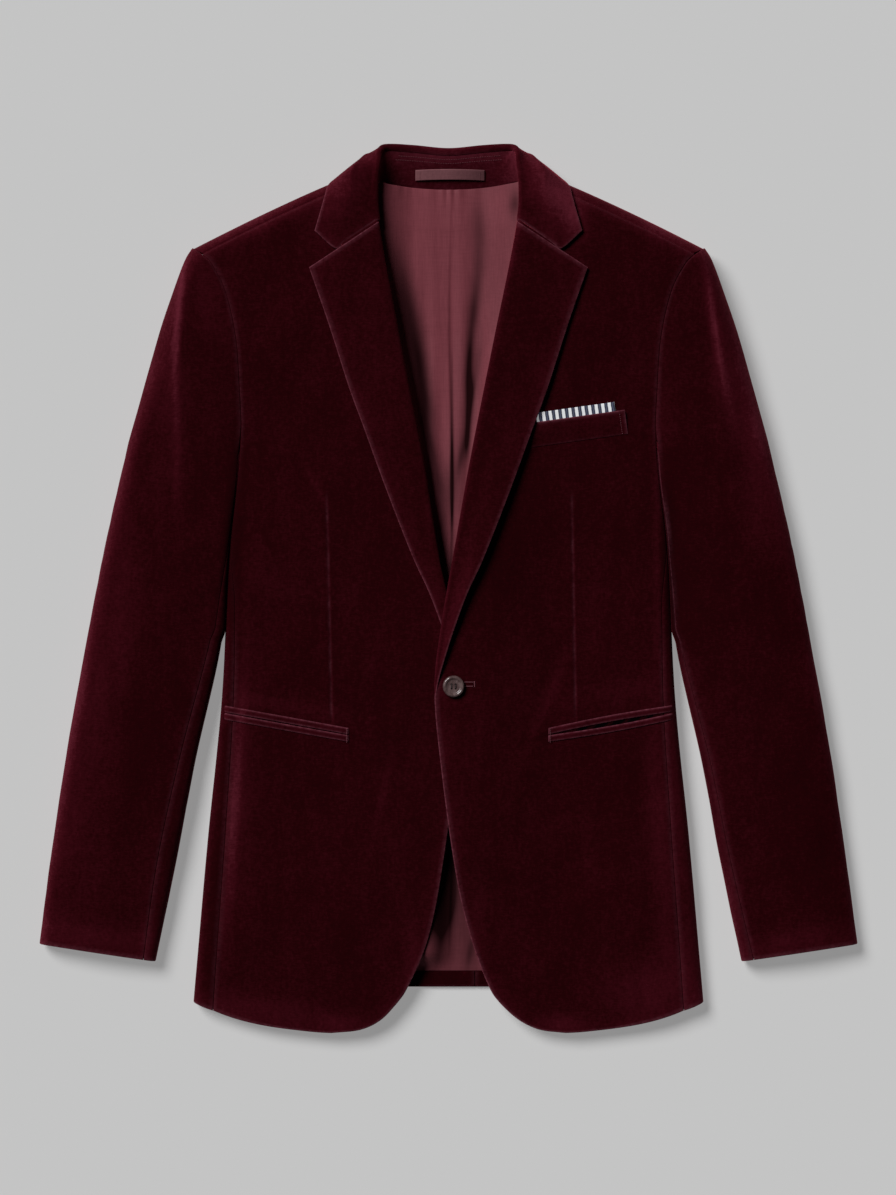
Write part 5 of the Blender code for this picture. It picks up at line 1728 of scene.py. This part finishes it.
def button_disc(seat):
    """The turned disc of the button, with its raised rim, standing at the height of its seat."""
    profile = curve(np.stack(BUTTON, axis=1))(np.linspace(0.0, 1.0, BUTTON_STEPS))
    turns = np.radians(np.arange(BUTTON_CORNERS) * 360.0 / BUTTON_CORNERS)
    rings = [raised(pair(np.cos(turns) * radius, np.sin(turns) * radius), z) for radius, z in profile[1:-1]]
    points = np.concatenate(rings + [np.array(((0, 0, profile[0, 1]), (0, 0, profile[-1, 1])))])
    faces = [(a, d, c, b) for a, b, c, d in tube(0, len(rings), BUTTON_CORNERS)]
    last = (len(rings) - 1) * BUTTON_CORNERS
    for corner in range(BUTTON_CORNERS):
        after = (corner + 1) % BUTTON_CORNERS
        faces.append((corner, after, len(points) - 2))
        faces.append((last + after, last + corner, len(points) - 1))
    disc = bpy.data.meshes.new("button_disc")
    disc.from_pydata((points + (*BUTTON_AT, seat)).tolist(), [], faces)
    return disc


def button_holes(seat):
    """Four rods that cut the button's holes."""
    rods = bmesh.new()
    size = {"radius1": BUTTON_HOLE_RADIUS, "radius2": BUTTON_HOLE_RADIUS, "depth": BUTTON_HOLE_DEPTH}
    for across in (-1, 1):
        for along in (-1, 1):
            rod = bmesh.ops.create_cone(rods, cap_ends=True, segments=BUTTON_HOLE_CORNERS, **size)
            at = BUTTON_AT + np.array((across, along)) * BUTTON_HOLE_OFFSET
            bmesh.ops.translate(rods, verts=rod["verts"], vec=Vector((*at, seat)))
    holes = bpy.data.meshes.new("button_holes")
    rods.to_mesh(holes)
    rods.free()
    return holes


def button():
    """The front button with its four holes and its thread, on the highest place under its rim."""
    corners = BUTTON_AT + BUTTON.radius.max() * np.array(((1, 0), (-1, 0), (0, 1), (0, -1)))
    seat = front_height(corners[:, 0], corners[:, 1], LEFT).max() + LAID_ON
    solid = bpy.data.objects.new("button_solid", button_disc(seat))
    cutter = bpy.data.objects.new("button_holes", button_holes(seat))
    for each in (solid, cutter):
        bpy.context.scene.collection.objects.link(each)
    cut = solid.modifiers.new("holes", "BOOLEAN")
    cut.operation = "DIFFERENCE"
    cut.solver = "EXACT"
    cut.object = cutter
    shape = bpy.data.meshes.new_from_object(solid.evaluated_get(bpy.context.evaluated_depsgraph_get()))
    points = np.array([tuple(vert.co) for vert in shape.vertices])
    faces = [tuple(face.vertices) for face in shape.polygons]
    for each in (solid, cutter):
        bpy.data.objects.remove(each)
    piece = add_mesh("button", points, faces, HORN, "button")
    piece.data.set_sharp_from_angle(angle=BUTTON_SHARP)
    up = np.array(((0.0, 0.0, 1.0), (0.0, 0.0, 1.0)))
    for across, which in ((-1, "right"), (1, "left")):
        x = BUTTON_AT[0] + across * BUTTON_HOLE_OFFSET
        y = BUTTON_AT[1] + np.array((-BUTTON_THREAD_HALF, BUTTON_THREAD_HALF))
        ends = raised(pair(x, y), seat + BUTTON.height[0])
        stitches("button_thread_" + which, ends, up, BUTTON_SEWING, DARK_THREAD, "button")


button()


def bar(x0, x1, y0, y1, side, lift):
    """A straight line of points laid on a front's face, with the directions it looks in."""
    x, y = np.linspace(x0, x1, BAR_STEPS), np.linspace(y0, y1, BAR_STEPS)
    height = front_height(x, y, side) + front_detail(x, y, side) + lift
    return np.stack([x * side, y, height], axis=1), np.repeat([[0.0, 0.0, 1.0]], len(x), 0)


def column(group, rows, number):
    """Part of a column of a piece's grid, with the directions it looks in."""
    return FACES[group][rows, number], grid_normals(FACES[group])[rows, number]


# Buttonhole, pocket tacks, and the stitches on the collar stand, the hanger loop and the welt
for number, ends in enumerate(zip(*HOLE_BARS)):
    line = bar(*ends, LEFT, 0.0)
    stitches("buttonhole_%d" % number, *line, HOLE_SEWING, PINK_THREAD, "velvet", HOLE_THREAD_LIFT)
for hand, hand_name in NAMES.items():
    line = bar(TACK_X, TACK_X, *TACK_Y, hand, TACK_LIFT)
    stitches("jet_tack_" + hand_name, *line, TACK_SEWING, PINK_THREAD, "velvet")
for number, place in enumerate(STAND_COLUMNS):
    rows = np.flatnonzero(np.abs(FACES["collar_stand"][:, place, 0]) < STAND_STITCHES_END)
    line = column("collar_stand", rows, place)
    stitches("stand_stitch_%d" % number, *line, STAND_SEWING, PINK_THREAD, "velvet")
for place, which in LOOP_COLUMNS:
    line = column("hanger_loop", np.s_[2:-2], place)
    stitches("loop_stitch_" + which, *line, LOOP_SEWING, PINK_THREAD, "lining")
line = column("breast_welt", np.s_[3:-3], WELT_COLUMN)
stitches("welt_stitch", *line, WELT_SEWING, PINK_THREAD, "velvet")


def lengths(face):
    """The longest row and the longest column of a grid."""
    across = np.linalg.norm(np.diff(face, axis=1), axis=2).sum(axis=1).max()
    along = np.linalg.norm(np.diff(face, axis=0), axis=2).sum(axis=0).max()
    return float(across), float(along)


# What each sheet of cloth lies on, and the narrow trims sewn to it
RESTS = {
    "front": ("back_lining",),
    "side_panel": ("back",),
    "back": (),
    "lapel": ("front",),
    "top_sleeve": ("under_sleeve",),
    "under_sleeve": (),
}
TRIMS = {
    "front": ("jet_upper", "jet_lower", "jet_tack", "side_tape", "shoulder_tape"),
    "back": ("back_hem", "side_back_tape", "centre_tape"),
    "lapel": ("gorge_tape",),
    "top_sleeve": ("forearm_tape", "hindarm_tape"),
}


def named(start):
    """Names of the pieces that start with a word."""
    return [each for each in PIECES if each.startswith(start)]


def sided(names, hand_name):
    """Names of pieces on one side, or the same name for one that has no sides."""
    return [each if each in PIECES else each + "_" + hand_name for each in names]


for hand, hand_name in NAMES.items():
    for group, rests_on in RESTS.items():
        trims = [each for each in sided(TRIMS.get(group, ()), hand_name) if each in PIECES]
        if group == "front" and hand == LEFT:
            trims += named("buttonhole")

# Floor
FLOOR_HALF = 4.0
FLOOR_LEVEL = -0.6 * MM
FLOOR_CORNERS = ((-1, -1), (1, -1), (1, 1), (-1, 1))
PAPER = {
    "Base Color": (0.54, 0.54, 0.54, 1.0),
    "Emission Color": (1.0, 1.0, 1.0, 1.0),
    "Emission Strength": 0.27,
    "Roughness": 1.0,
    "Specular IOR Level": 0.0,
}
scene = bpy.context.scene
paper, paper_nodes = material("floor")
fill(paper_nodes, paper_nodes.shader, PAPER)
sheet = bpy.data.meshes.new("floor")
corners = [(x * FLOOR_HALF, y * FLOOR_HALF, FLOOR_LEVEL) for x, y in FLOOR_CORNERS]
sheet.from_pydata(corners, [], [(0, 1, 2, 3)])
sheet.materials.append(paper)
ground = bpy.data.objects.new("floor", sheet)
scene.collection.objects.link(ground)

# Light: a wide soft band low round the studio, a weak ceiling and the key lamp from the upper left
SKY_LOW = 0.80
SKY_HIGH = 0.09
SKY_BAND = (0.05, 0.55)
KEY_ELEVATION = math.radians(46)
KEY_AZIMUTH = math.radians(135)
KEY_ENERGY = 2.25
KEY_ANGLE = math.radians(28)
scene.view_settings.view_transform = "Standard"
world = bpy.data.worlds.new("studio")
world.use_nodes = True
scene.world = world
studio = Nodes(world.node_tree, world.node_tree.nodes["Background"])
direction = node(studio, "ShaderNodeTexCoord", {}).outputs["Generated"]
upward = node(studio, "ShaderNodeSeparateXYZ", {0: direction}).outputs["Z"]
band = {
    "Value": upward,
    "From Min": SKY_BAND[0],
    "From Max": SKY_BAND[1],
    "To Min": SKY_LOW,
    "To Max": SKY_HIGH,
}
strength = node(studio, "ShaderNodeMapRange", band, interpolation_type="SMOOTHSTEP").outputs[0]
fill(studio, studio.shader, {"Strength": strength})

key = bpy.data.lights.new("key", "SUN")
key.energy = KEY_ENERGY
key.angle = KEY_ANGLE
lamp = bpy.data.objects.new("key", key)
level = math.cos(KEY_ELEVATION)
toward = Vector((level * math.cos(KEY_AZIMUTH), level * math.sin(KEY_AZIMUTH), math.sin(KEY_ELEVATION)))
lamp.rotation_euler = toward.to_track_quat("Z", "Y").to_euler()
scene.collection.objects.link(lamp)

# Camera, straight above, with its view measured at a level between the table and the top of the jacket
CAMERA_AT = (-0.46 * MM, -7.85 * MM, 5.0)
SENSOR = 36.0
VIEW_LENGTH = 1100.5 * MM
VIEW_LEVEL = 20.0 * MM
eye = bpy.data.cameras.new("camera")
eye.sensor_width = SENSOR
eye.lens = SENSOR * (CAMERA_AT[2] - VIEW_LEVEL) / VIEW_LENGTH
camera = bpy.data.objects.new("camera", eye)
camera.location = CAMERA_AT
scene.collection.objects.link(camera)
scene.camera = camera
